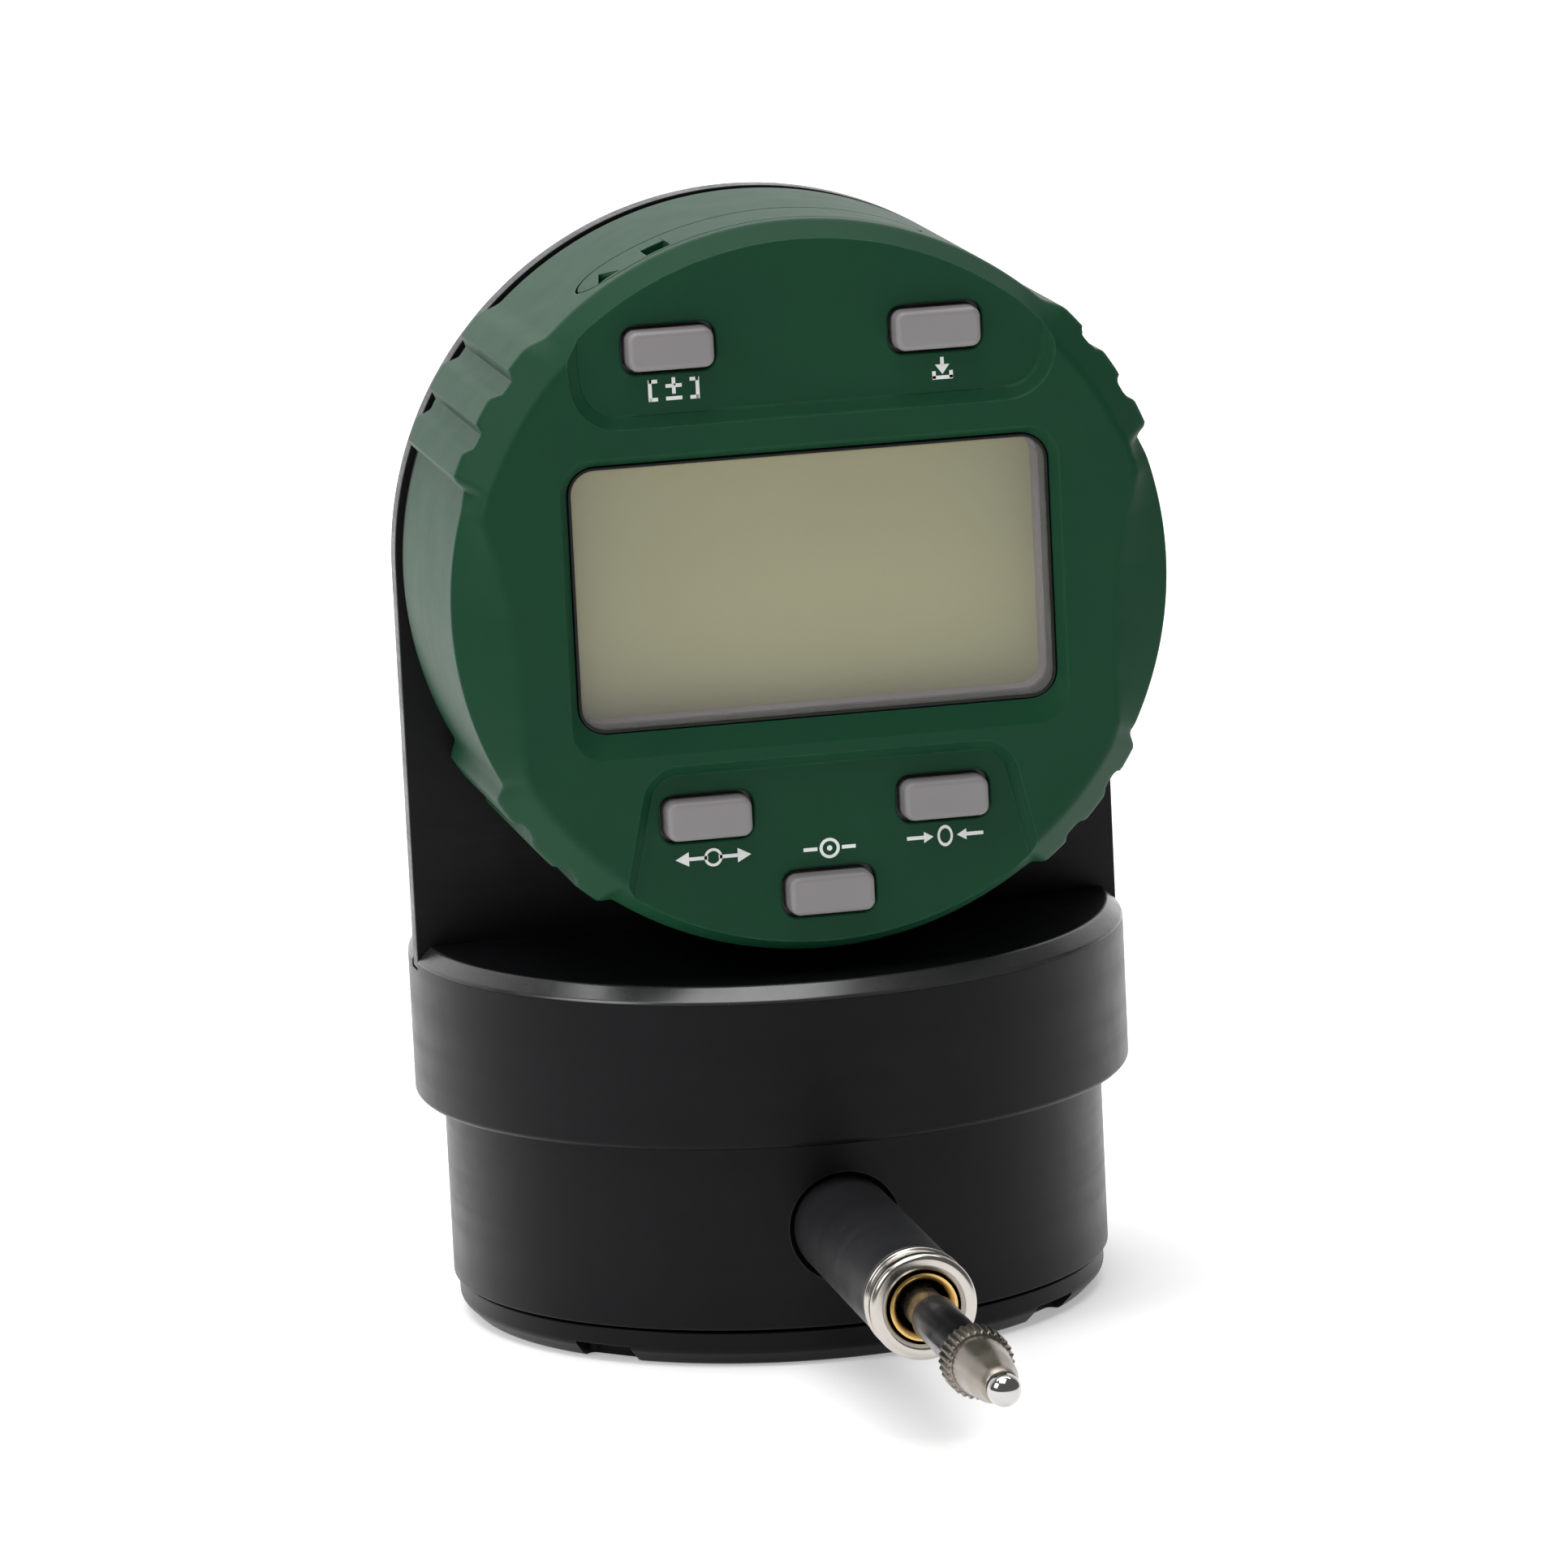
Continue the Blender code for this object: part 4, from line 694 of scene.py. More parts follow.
def build_drum(sizes):
    ease = sizes.edge_ease
    profile = [
        (DRUM_BORE, 0.0037),
        (0.0313, 0.0037, ease),
        (0.0313, 0.0211, ease),
        (0.0294, 0.0211),
        (0.0294, 0.0241),
        (DRUM_BORE, 0.0241),
    ]
    joins = at_nodes(BASE_SCREWS, rod(0.0034, 0.0055, 0.0211))
    joins.append(turned(rod(0.0072, -0.0294, -0.0195), 96, PLUNGER_AXIS, True))
    bore = [(0.0, -0.0340), (0.00525, -0.0340), (0.00525, -0.0308), (0.00487, -0.0304), (0.00487, -0.0175),
            (0.0, -0.0175)]
    cutters = at_nodes(BASE_SCREWS, rod(SCREW_HOLE, 0.004, 0.0123))
    cutters.append(turned(bore, 96, PLUNGER_AXIS, True))
    cutters.append(turned(rod(SCREW_HOLE, 0.0152, 0.0231), HOLE_STEPS, (0.0, middle("stem_set_screw").y, 0.0)))
    drum = carved(turned(profile, sizes.turned_steps), cutters, joins)
    place_piece("drum_shell", drum, ["turned"], "base", ["drum_body"])


def build_flange(sizes):
    ease = sizes.edge_ease
    profile = [
        (0.0, 0.0332),
        (DRUM_BORE, 0.0332),
        (DRUM_BORE, 0.0244),
        (0.0297, 0.0244),
        (0.0297, 0.0214),
        (0.0336, 0.0214, ease),
        (0.0340, 0.0218, ease),
        (0.0340, 0.0353, ease * 1.5),
        (0.0326, 0.0367, ease * 1.5),
        (0.0, 0.0367),
    ]
    flange = turned(profile, sizes.turned_steps)
    # The outer chamfer's up-facing faces take the lighter copy of the black, a painted highlight
    for face in flange.faces:
        out = math.hypot(*face.calc_center_median().xy)
        face.material_index = 1 if 0.3 < face.normal.z < 0.95 and out > 0.032 else 0
    low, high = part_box("upright_plate")
    gap = 0.0001
    cutters = [
        prism(span(-0.036, low.y - gap, 0.036, high.y + gap), low.z - 2 * gap, LID_TOP, "Z"),
        prism(span(-0.005, 0.0016, 0.005, 0.0034), 0.0312, LID_TOP, "Z", 0.0005),
    ]
    cutters += at_nodes(FLANGE_SCREWS, rod(SCREW_HOLE, 0.0312, LID_TOP))
    place_piece("turned_flange", carved(flange, cutters), ["turned", "chamfer"], "base", ["flange_ring"])


# ---------------------------------------------------------------- upright plate and what is behind it


def build_plate(sizes):
    """The plate: a square foot and a round top, with a brushed face and a cut edge coloured lighter as a painted
    reflection.
    """
    low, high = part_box("upright_plate")
    radius = high.x
    bm = bmesh.new()
    verts = [bm.verts.new((x, low.y, z)) for x, z in ((-radius, low.z), (radius, low.z), (radius, HEAD_Z))]
    for pair in zip(verts, verts[1:]):
        bm.edges.new(pair)
    bmesh.ops.spin(bm, geom=[verts[-1]], cent=(0, low.y, HEAD_Z), axis=(0, -1, 0), dvec=(0, 0, 0), angle=math.pi,
                   steps=180, use_merge=False)
    bmesh.ops.remove_doubles(bm, verts=bm.verts, dist=SAME_POINT)
    bmesh.ops.contextual_create(bm, geom=bm.edges[:])
    extrude(bm, (0.0, high.y - low.y, 0.0))
    tidy(bm)
    rim = [e for e in sharp_edges(bm, 60.0) if abs(e.verts[0].co.y - e.verts[1].co.y) < 1e-6]
    soften(bm, rim, sizes.plate_ease, 2)
    cutters = [turned(rod(0.0083, -0.004, 0.003), 96, HEAD_AXIS, True)]
    cutters += at_nodes(BRACKET_SCREWS + COVER_SCREWS, rod(SCREW_HOLE, low.y + 0.0004, 0.003), 32, True)
    plate = carved(bm, cutters)
    # The outer side faces take the lighter edge finish, a painted reflection
    for face in plate.faces:
        where = face.calc_center_median()
        outside = math.hypot(where.x, max(where.z - HEAD_Z, 0.0)) > radius - 0.0001
        face.material_index = 1 if abs(face.normal.y) < 0.6 and outside else 0
    place_piece("back_plate", plate, ["plate", "plate_edge_painted_reflection"], "base", ["upright_plate"])


def build_bracket():
    """An angle with a slot for the duct, screwed to the flange and to the plate."""
    low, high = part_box("plate_bracket")
    thick = 0.0022
    profile = [(low.y, low.z), (high.y, low.z), (high.y, low.z + thick), (low.y + thick, low.z + thick),
               (low.y + thick, high.z), (low.y, high.z)]
    bm = bmesh.new()
    bm.faces.new([bm.verts.new((low.x, y, z)) for y, z in profile])
    extrude(bm, (high.x - low.x, 0.0, 0.0))
    tidy(bm)
    soften(bm, sharp_edges(bm), 0.00025, 3)
    cutters = [prism(span(-0.0075, -0.001, 0.0075, low.y + 0.0066), low.z - 0.002, high.z + 0.002, "Z",
                     [0.0, 0.0, 0.001, 0.001])]
    for foot, wall in zip(FLANGE_SCREWS, BRACKET_SCREWS):
        cutters += at_nodes([foot], rod(SCREW_HOLE, low.z - 0.002, low.z + 0.004))
        cutters += at_nodes([wall], rod(SCREW_HOLE, low.y - 0.002, low.y + 0.004), along_y=True)
    place_piece("folded_bracket", carved(bm, cutters), ["plate"], "base", ["plate_bracket"])


def keyhole(radius, half_width, bottom, low, high):
    """A round head with a straight channel running down from it, extruded along Y."""
    bm = bmesh.new()
    foot = bm.verts.new((half_width, low, bottom))
    corner = bm.verts.new((half_width, low, HEAD_Z - math.sqrt(radius ** 2 - half_width ** 2)))
    bm.edges.new((foot, corner))
    bmesh.ops.spin(bm, geom=[corner], cent=(0, low, HEAD_Z), axis=(0, -1, 0), dvec=(0, 0, 0),
                   angle=math.tau - 2 * math.asin(half_width / radius), steps=120, use_merge=False)
    bmesh.ops.remove_doubles(bm, verts=bm.verts, dist=SAME_POINT)
    last = next(v for v in bm.verts if len(v.link_edges) == 1 and v != foot)
    other_foot = bm.verts.new((-half_width, low, bottom))
    bm.edges.new((last, other_foot))
    bm.edges.new((other_foot, foot))
    bmesh.ops.contextual_create(bm, geom=bm.edges[:])
    extrude(bm, (0.0, high - low, 0.0))
    return tidy(bm)


def build_duct(sizes):
    """The cover over the lead and the hub's nut, with two ears for its screws."""
    low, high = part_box("duct_cover")
    ease = sizes.duct_ease
    shell = keyhole(0.0135, 0.0065, low.z, low.y, high.y - ease)
    face = end_face(shell)
    for inward, onward in rounding_steps(ease, 5):
        step_face(shell, face, inward, onward)
    ears = prism(box_corners(0.0, 0.056, 0.025, 0.006), low.y, low.y + 0.0017, "Y", 0.00299, 10)
    shell = carved(shell, joins=[ears])
    cutters = [keyhole(0.0123, 0.0053, low.z - 0.002, low.y - 0.002, high.y - 0.0012)]
    cutters += at_nodes(COVER_SCREWS, rod(SCREW_HOLE, low.y - 0.002, low.y + 0.0037), along_y=True)
    place_piece("flex_duct", carved(shell, cutters), ["moulded"], "base", ["duct_cover"])


def cross_cutters(name, top, along_y, width, below=False):
    """Two tapered slots that make a cross recess in a screw's head."""
    where = middle(name)
    cutters = []
    for turn in (0.0, math.pi / 2):
        slot = prism(box_corners(0.0, 0.0, width, 0.00045), -0.0009, 0.001, "Z")
        for vert in slot.verts:
            if vert.co.z < 0.0:
                vert.co.x *= 0.55
        swing(slot, turn + 0.4, "Z")
        if below:
            swing(slot, math.pi, "X")
        if along_y:
            swing(slot, -math.pi / 2, "X")
        move(slot, (where.x, top, where.z) if along_y else (where.x, where.y, top))
        cutters.append(slot)
    return cutters


def build_screws():
    """Pan heads behind the plate, and countersunk heads in the underside, with cross recesses."""
    shank = 0.00125
    for name in FLANGE_SCREWS + BRACKET_SCREWS + COVER_SCREWS:
        low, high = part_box(name)
        along_y = name not in FLANGE_SCREWS
        tip, top = (low.y, high.y) if along_y else (low.z, high.z)
        seat = top - 0.0016
        profile = [(0.0, tip), (shank, tip, 0.0002), (shank, seat), (0.0023, seat, 0.0001),
                   (0.0023, seat + 0.0009, 0.0006), (0.0017, top, 0.0003), (0.0, top)]
        screw = carved(at_nodes([name], profile, 48, along_y)[0], cross_cutters(name, top, along_y, 0.0026))
        place_piece(f"pan_{name}", screw, ["steel"], "base", [name])
    sunk = 0.0002
    for name in BASE_SCREWS:
        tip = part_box(name)[1].z
        profile = [(0.0, sunk), (0.0028, sunk, 0.0001), (shank, 0.00175), (shank, tip, 0.0002), (0.0, tip)]
        screw = carved(at_nodes([name], profile, 48)[0], cross_cutters(name, sunk, False, 0.0030, below=True))
        place_piece(f"sunk_{name}", screw, ["steel"], "base", [name])


# ---------------------------------------------------------------- plunger


def on_plunger_axis(profile, steps=96):
    return turned(profile, steps, PLUNGER_AXIS, True)


def build_stem():
    """The stem, the chrome ring on its nose, and the brass bush inside."""
    bore = 0.0034
    radius = 0.0047625
    profile = [(bore, -0.0603), (radius, -0.0603, 0.0003), (radius, -0.0180, 0.0003), (bore, -0.0180)]
    place_piece("stem_sleeve", on_plunger_axis(profile, 128), ["stem"], "base", ["stem_tube"])
    profile = [
        (bore, -0.0606),
        (0.0048, -0.0606, 0.0001),
        (0.0049, -0.0608, 0.0001),
        (0.0049, -0.0612, 0.0001),
        (0.0046, -0.0614, 0.0001),
        (0.0046, -0.0628, 0.0002),
        (0.0049, -0.0631, 0.0001),
        (0.0049, -0.0637, 0.0002),
        (0.0046, -0.0641, 0.0002),
        (0.0037, -0.0641, 0.0002),
        (bore, -0.0638),
    ]
    place_piece("nose_cap", on_plunger_axis(profile, 128), ["chrome"], "base", ["nose_ring"])
    profile = [
        (0.0028, -0.0639, 0.0001),
        (0.0031, -0.0639),
        (0.0031, -0.0500),
        (0.00245, -0.0500),
        (0.00245, -0.0635, 0.0001),
    ]
    place_piece("front_bush", on_plunger_axis(profile), ["brass"], "base", ["guide_bush"])


def build_plunger(sizes):
    """The spindle, its black sleeve, the knurled contact and the ball."""
    core = 0.0018
    profile = [(0.0, -0.0824), (0.0015, -0.0824), (0.0015, -0.0678), (core, -0.0678, 0.0001), (core, 0.0080, 0.0003),
               (0.0, 0.0080)]
    place_piece("ground_spindle", on_plunger_axis(profile), ["steel"], "plunger", ["spindle"])
    profile = [(core, -0.0824), (0.00212, -0.0824, 0.0001), (0.00212, -0.0681, 0.0001), (core, -0.0681)]
    place_piece("spindle_sleeve", on_plunger_axis(profile), ["sleeve"], "plunger", ["dust_sleeve"])
    build_contact(sizes)
    ball = bmesh.new()
    bmesh.ops.create_uvsphere(ball, u_segments=64, v_segments=32, radius=0.0015)
    move(ball, (0.0, middle("contact_ball").y, PLUNGER_Z))
    place_piece("ball_tip", ball, ["ball"], "plunger", ["contact_ball"])


def build_contact(sizes):
    """The knurled collar and the cone that holds the ball, made ring by ring."""
    teeth = sizes.knurl_teeth
    outer = 0.00315
    # Each ring: its radius at a tooth's tip, its share of the teeth's depth, and its y
    rings = [
        (0.0016, 0.0, -0.0827),
        (outer - 0.00045, 0.0, -0.0827),
        (outer - 0.00018, 0.4, -0.08295),
        (outer, 1.0, -0.0832),
        (outer, 1.0, -0.0858),
        (outer - 0.00018, 0.4, -0.0861),
        (outer - 0.00050, 0.0, -0.0862),
        (outer - 0.00055, 0.0, -0.0865),
        (0.00238, 0.0, -0.0890),
        (0.00215, 0.0, -0.0912),
        (0.00172, 0.0, -0.0930),
        (0.00150, 0.0, -0.0940),
        (0.00138, 0.0, -0.0941),
        (0.00130, 0.0, -0.0939),
        (0.00120, 0.0, -0.0930),
    ]
    bm = bmesh.new()
    start, _, y = rings[0]
    bmesh.ops.create_circle(bm, cap_ends=False, segments=teeth * 6, radius=start)
    for vert in bm.verts:
        vert.co = (vert.co.x, y, PLUNGER_Z + vert.co.y)
    first = edges = bm.edges[:]
    for tip, cut, y in rings[1:]:
        depth = sizes.knurl_depth * cut

        def ring_point(angle):
            wave = 0.5 + 0.5 * math.cos(angle * teeth)
            return tip - depth * (1.0 - wave ** 0.7), y

        edges = next_ring(bm, edges, ring_point, PLUNGER_Z)
    bmesh.ops.contextual_create(bm, geom=edges)
    bmesh.ops.contextual_create(bm, geom=first)
    tidy(bm)
    for face in bm.faces:
        face.material_index = 0 if face.calc_center_median().y > -0.0863 else 1
    place_piece("contact_collar", bm, ["knurl", "cone"], "plunger", ["contact_body"], 50.0)


def build_spring(sizes):
    """A round wire swept along a helix, closed at both ends."""
    low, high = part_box("return_spring")
    wire = sizes.spring_wire
    front = low.y + wire
    length = high.y - low.y - 2 * wire
    steps = sizes.spring_turns * 32
    coil_radius = 0.0028
    bm = bmesh.new()
    bmesh.ops.create_circle(bm, cap_ends=True, segments=10, radius=wire)
    move(bm, (coil_radius, front, PLUNGER_Z))
    bmesh.ops.spin(bm, geom=bm.faces[:] + bm.edges[:] + bm.verts[:], cent=(0, 0, PLUNGER_Z), axis=(0, 1, 0),
                   dvec=(0.0, length / steps, 0.0), angle=math.tau * sizes.spring_turns, steps=steps)
    spring = place_piece("coil_spring", tidy(bm), ["spring"], "base", ["return_spring"], 60.0)
    spring.modifiers.clear()
    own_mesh(spring)


# ---------------------------------------------------------------- display head

# Sizes round the rim, as (degrees from level, metres), for the upper and the lower half
OUTSIDE = {
    1: ((0, "side"), (20.0, "side"), (21.4, "grip"), (42.9, "grip"), (47.7, "rim"), (90, "rim")),
    -1: ((0, "side"), (28.0, "side"), (30.6, "grip"), (52.2, "grip"), (54.5, "rim"), (90, "rim")),
}
GROOVES = {
    1: ((24.9, 27.5, 29.0, 30.2), (34.0, 36.9, 38.4, 39.6)),
    -1: ((34.1, 35.6, 37.0, 39.5), (43.4, 45.2, 46.8, 48.6)),
}
SHOULDER = {
    1: ((0, 0.0295), (16.5, 0.0295), (20.6, 0.0283), (46, 0.0283), (54, 0.0278), (90, 0.0278)),
    -1: ((0, 0.0295), (26.5, 0.0295), (30.6, 0.0283), (52, 0.0283), (57, 0.0278), (90, 0.0278)),
}
FACE_EDGE = {
    1: ((0, 0.0283), (9.0, 0.0297), (15.5, 0.03165), (20.0, 0.0319), (24, 0.0316), (45, 0.0316), (52, 0.0320),
        (90, 0.0320)),
    -1: ((0, 0.0283), (10.0, 0.0283), (20.0, 0.02945), (28.0, 0.0314), (32, 0.0317), (52, 0.0317), (57, 0.0322),
         (90, 0.0322)),
}


def between(table, lean, blend):
    """Reads a size from a table of (degrees from level, size)."""
    for (a, low), (b, high) in zip(table, table[1:]):
        if lean <= b:
            return low + (high - low) * blend((lean - a) / (b - a))
    return table[-1][1]


def groove_share(half, lean):
    """How much of a groove's depth there is at an angle: 1 on its floor and 0 on a pad."""
    for a, b, c, d in GROOVES[half]:
        if a < lean < d:
            return smooth((lean - a) / (b - a)) * smooth((d - lean) / (d - c))
    return 0.0


def curve_points(start, corner, end):
    """Points along the rounding of a corner."""
    points = []
    for t in (0.0, 0.25, 0.5, 0.75, 1.0):
        points.append(tuple((1 - t) ** 2 * s + 2 * t * (1 - t) * c + t * t * e for s, c, e in zip(start, corner, end)))
    return points


def rim_profile(sizes, angle):
    """The housing's outer surface at one angle, as (radius, y) from its back edge to its face."""
    sine = math.sin(angle)
    half = 1 if sine >= 0.0 else -1
    lean = math.degrees(math.asin(abs(min(max(sine, -1.0), 1.0))))
    radii = {"side": sizes.side_radius, "rim": sizes.rim_radius, "grip": sizes.grip_radius}
    wide = between([(a, radii[r]) for a, r in OUTSIDE[half]], lean, smooth)
    shoulder = -between(SHOULDER[half], lean, smooth)
    front = between(FACE_EDGE[half], lean, lambda t: t)
    crescent = smooth((wide - sizes.side_radius) / 0.0003)
    turn = sizes.shoulder_ease * (0.5 + 0.5 * crescent)
    groove = sizes.groove_depth * groove_share(half, lean)
    start = shoulder - sizes.groove_run

    def cut_to(radius, y):
        """The radius that is left where a groove reaches, with a round end that rises towards the face."""
        rise = min(max((y - start) / sizes.groove_end, 0.0), 1.0)
        if groove == 0.0 or rise == 0.0:
            return radius, y
        return min(radius, wide - groove * math.sqrt(1.0 - (1.0 - rise) ** 2)), y

    points = [(wide - 0.0003, HOUSING_BACK), (wide - 0.00009, HOUSING_BACK - 0.00009), (wide, HOUSING_BACK - 0.0003)]
    points = [(radius - groove, y) for radius, y in points]
    back = -0.0240
    points += [(wide, -0.0140), (wide, back)]
    rows = 8
    points += [(wide, back + (shoulder + turn - back) * (1.0 - (1.0 - row / rows) ** 1.5)) for row in range(1, rows)]
    run = math.hypot(front - wide, HOUSING_FRONT - shoulder)
    unit = ((front - wide) / run, (HOUSING_FRONT - shoulder) / run)

    def on_facet(length):
        return wide + unit[0] * length, shoulder + unit[1] * length

    points += curve_points((wide, shoulder + turn), (wide, shoulder), on_facet(turn))
    ease = sizes.face_ease
    points += [on_facet(turn + (run - ease - turn) * row / rows) for row in range(1, rows)]
    points += curve_points(on_facet(run - ease), (front, HOUSING_FRONT), (front - ease, HOUSING_FRONT))
    return [cut_to(radius, y) for radius, y in points]


def next_ring(bm, edges, place, centre_z):
    """Extrudes a ring of edges and puts each new point at (radius, y) for its angle."""
    grown = bmesh.ops.extrude_edge_only(bm, edges=edges)
    for vert in moved_verts(grown):
        angle = math.atan2(vert.co.z - centre_z, vert.co.x)
        radius, y = place(angle)
        vert.co = (radius * math.cos(angle), y, centre_z + radius * math.sin(angle))
    return new_edges(grown)


def housing_cup(sizes):
    """The case before anything is cut from it: its cavity, its rim with the grooved grips, and its face."""
    bm = bmesh.new()
    bmesh.ops.create_circle(bm, cap_ends=False, segments=RIM_STEPS, radius=sizes.cavity_radius)
    for vert in bm.verts:
        vert.co = (vert.co.x, -sizes.cavity_front, HEAD_Z + vert.co.y)
    first = bm.edges[:]
    step = math.tau / RIM_STEPS

    @functools.lru_cache(maxsize=None)
    def profile_at(index):
        return rim_profile(sizes, index * step)

    edges = next_ring(bm, first, lambda angle: (sizes.cavity_radius, HOUSING_BACK), HEAD_Z)
    for row in range(len(profile_at(0))):
        edges = next_ring(bm, edges, lambda angle: profile_at(round(angle / step) % RIM_STEPS)[row], HEAD_Z)
    bmesh.ops.contextual_create(bm, geom=edges)
    bmesh.ops.contextual_create(bm, geom=first)
    return tidy(bm)


UPPER_PANEL = [(-0.0216, 0.0887), (0.0230, 0.0887), (0.0243, 0.0990), (0.0160, 0.1120), (-0.0160, 0.1120),
               (-0.0226, 0.0990)]
LOWER_PANEL = [(-0.0213, 0.0380), (-0.0140, 0.0330), (0.0140, 0.0330), (0.0225, 0.0380), (0.0202, 0.0465),
               (0.0177, 0.0578), (-0.0166, 0.0578), (-0.0191, 0.0465)]
UPPER_BUTTONS = ("button_tolerance", "button_memory")
LOWER_BUTTONS = ("button_units", "button_absolute", "button_zero")

# Widths and heights of the window's outlines
SILL = (0.0468, 0.0279)
OPENING = (0.0450, 0.0248)
LENS_FRAME = (0.0448, 0.0246)
FRAME_FLANGE = (0.0476, 0.0274)
DISPLAY_WALL = (0.0452, 0.0250)
SILL_MIDDLE_Z = 0.07255
LENS_CORNER = 0.0025
BUTTON_CAP = (0.0081, 0.0038)
SEAT_Y = -0.0290  # front of the flanges that rest behind the housing's face


def window_cutter(sizes):
    """The window's hole, with a chamfer that is widest at its sill."""
    bm = flat_outline(box_corners(0.0, SILL_MIDDLE_Z, *SILL), 0.0031, 8, HOUSING_FRONT - HAIR)
    extrude(bm, (0.0, -0.002, 0.0))
    bmesh.ops.recalc_face_normals(bm, faces=bm.faces)
    face = end_face(bm)
    for inward, onward in ((0.00012, 0.00003), (0.00015, 0.00008)):
        step_face(bm, face, inward, onward)
    face = bmesh.ops.extrude_discrete_faces(bm, faces=[face])["faces"][0]
    centre_z = face.calc_center_median().z
    across = [v.co.x for v in face.verts]
    up = [v.co.z for v in face.verts]
    wide = max(across) - min(across)
    tall = max(up) - min(up)
    for vert in face.verts:
        vert.co.x *= OPENING[0] / wide
        vert.co.z = WINDOW_Z + (vert.co.z - centre_z) * OPENING[1] / tall
        vert.co.y = HOUSING_FRONT + sizes.sill_depth
    step_face(bm, face, SAME_POINT, 0.006)
    return tidy(bm)


def button_hole(name, floor_y, sizes):
    low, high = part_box(name)
    where = (low + high) / 2
    reach = sizes.mouth_ease
    grow = 0.00035 + reach + LEAD_IN
    points = box_corners(where.x, where.z, *(length + 2 * grow for length in BUTTON_CAP))
    return stepped(points, 0.0010 + grow, floor_y - HAIR, 1.0, 0.002, mouth_steps(reach, 0.004))


def build_housing(sizes):
    """The green case: a cup with two sunk panels, holes, a battery slot and four screw bosses."""
    upper_y = HOUSING_FRONT + sizes.panel_depth
    lower_y = HOUSING_FRONT + sizes.lower_depth
    start = HOUSING_FRONT - HAIR
    cutters = [
        stepped(UPPER_PANEL, 0.0042, start, 1.0, 0.003, slope_steps(sizes.panel_slope, sizes.panel_depth)),
        stepped(LOWER_PANEL, 0.0030, start, 1.0, 0.003, slope_steps(sizes.lower_slope, sizes.lower_depth)),
        window_cutter(sizes),
    ]
    cutters += [button_hole(name, upper_y, sizes) for name in UPPER_BUTTONS]
    cutters += [button_hole(name, lower_y, sizes) for name in LOWER_BUTTONS]
    low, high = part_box("battery_cover")
    gap = 0.0005
    slot = box_corners((low.x + high.x) / 2, (low.y + high.y) / 2, high.x - low.x + gap, high.y - low.y + gap)
    cutters.append(prism(slot, 0.096, 0.1094, "Z", (high.y - low.y) / 2 + 0.00024, 12))
    joins = at_nodes(HOUSING_SCREWS, rod(0.0031, -0.0304, -0.0066), along_y=True)
    cutters += at_nodes(HOUSING_SCREWS, rod(0.0013, -0.0143, -0.0046), 32, True)
    shell = carved(housing_cup(sizes), cutters, joins)
    place_piece("housing_shell", shell, ["green"], "head", ["head_housing"], 34.0)


def build_back_cover():
    """The cover behind the case, with countersunk holes for its screws."""
    profile = [
        (0.0083, -0.0022),
        (0.0333, -0.0022, 0.0003),
        (0.0333, -0.0035, 0.0002),
        (0.0310, -0.0035),
        (0.0310, -0.0063, 0.0002),
        (0.0123, -0.0063),
        (0.0123, -0.0035),
        (0.0083, -0.0035),
    ]
    hole = [(0.0, -0.0004), (0.0023, -0.0004), (0.0023, -0.0024), (0.0013, -0.0034), (0.0013, -0.0083), (0.0, -0.0083)]
    cover = carved(turned(profile, 192, HEAD_AXIS, True), at_nodes(HOUSING_SCREWS, hole, along_y=True))
    place_piece("rear_cover", cover, ["moulded"], "head", ["head_back_cover"])


def build_window(sizes):
    """The black frame, the clear lens, the wall behind it and the display."""
    lip = sizes.lens_lip
    corner = LENS_CORNER - lip
    inside = [length - 2 * lip for length in LENS_FRAME]
    stand = 0.0015  # how far the frame stands up from its flange before its rounding
    steps = [((FRAME_FLANGE[0] - LENS_FRAME[0]) / 2, 0.0), (0.0, stand), (0.00005, 0.00007), (0.00005, 0.00003)]
    body = stepped(box_corners(0.0, WINDOW_Z, *FRAME_FLANGE), LENS_CORNER + 0.0014, SEAT_Y, -1.0, 0.0011, steps)
    hole = prism(box_corners(0.0, WINDOW_Z, *inside), -0.034, -0.026, "Y", corner, 8)
    place_piece("window_frame", carved(body, [hole]), ["lens_frame"], "head", ["lens_frame"])
    gap = 0.00004
    clear = box_corners(0.0, WINDOW_Z, *(length - 2 * gap for length in inside))
    lens = stepped(clear, corner, -0.0305, -1.0, 0.0004, [(0.0001, 0.0001)])
    place_piece("clear_window", lens, ["lens"], "head", ["window_lens"])
    wall = prism(box_corners(0.0, WINDOW_Z, *DISPLAY_WALL), -0.0278, -0.0253, "Y", 0.0027, 8)
    hole = prism(box_corners(0.0, WINDOW_Z, *(length - 0.0003 for length in inside)), -0.030, -0.024, "Y", corner, 8)
    place_piece("display_wall", carved(wall, [hole]), ["surround"], "head", ["display_surround"])
    low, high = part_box("lcd_module")
    outline = box_corners(0.0, WINDOW_Z, high.x - low.x, high.z - low.z)
    panel = stepped(outline, 0.0004, -0.0251, -1.0, 0.0008, [(0.0001, 0.0001)], 3)
    place_piece("display_panel", panel, ["display"], "head", ["lcd_module"])


BUTTON_BODIES = {
    "button_tolerance": "tolerance_button",
    "button_memory": "memory_button",
    "button_units": "units_button",
    "button_absolute": "absolute_button",
    "button_zero": "zero_button",
}


def build_buttons(sizes):
    """Five rounded caps, each on a flange that keeps it in its hole."""
    ease = sizes.cap_ease
    for name, body in BUTTON_BODIES.items():
        low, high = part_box(name)
        where = (low + high) / 2
        steps = [(0.0005, 0.0), (0.00008, SEAT_Y - low.y - ease), *rounding_steps(ease, 5)]
        points = box_corners(where.x, where.z, high.x - low.x, high.z - low.z)
        cap = stepped(points, 0.0015, SEAT_Y, -1.0, high.y - SEAT_Y, steps)
        place_piece(name.replace("button_", "") + "_cap", cap, ["button"], body, [name])


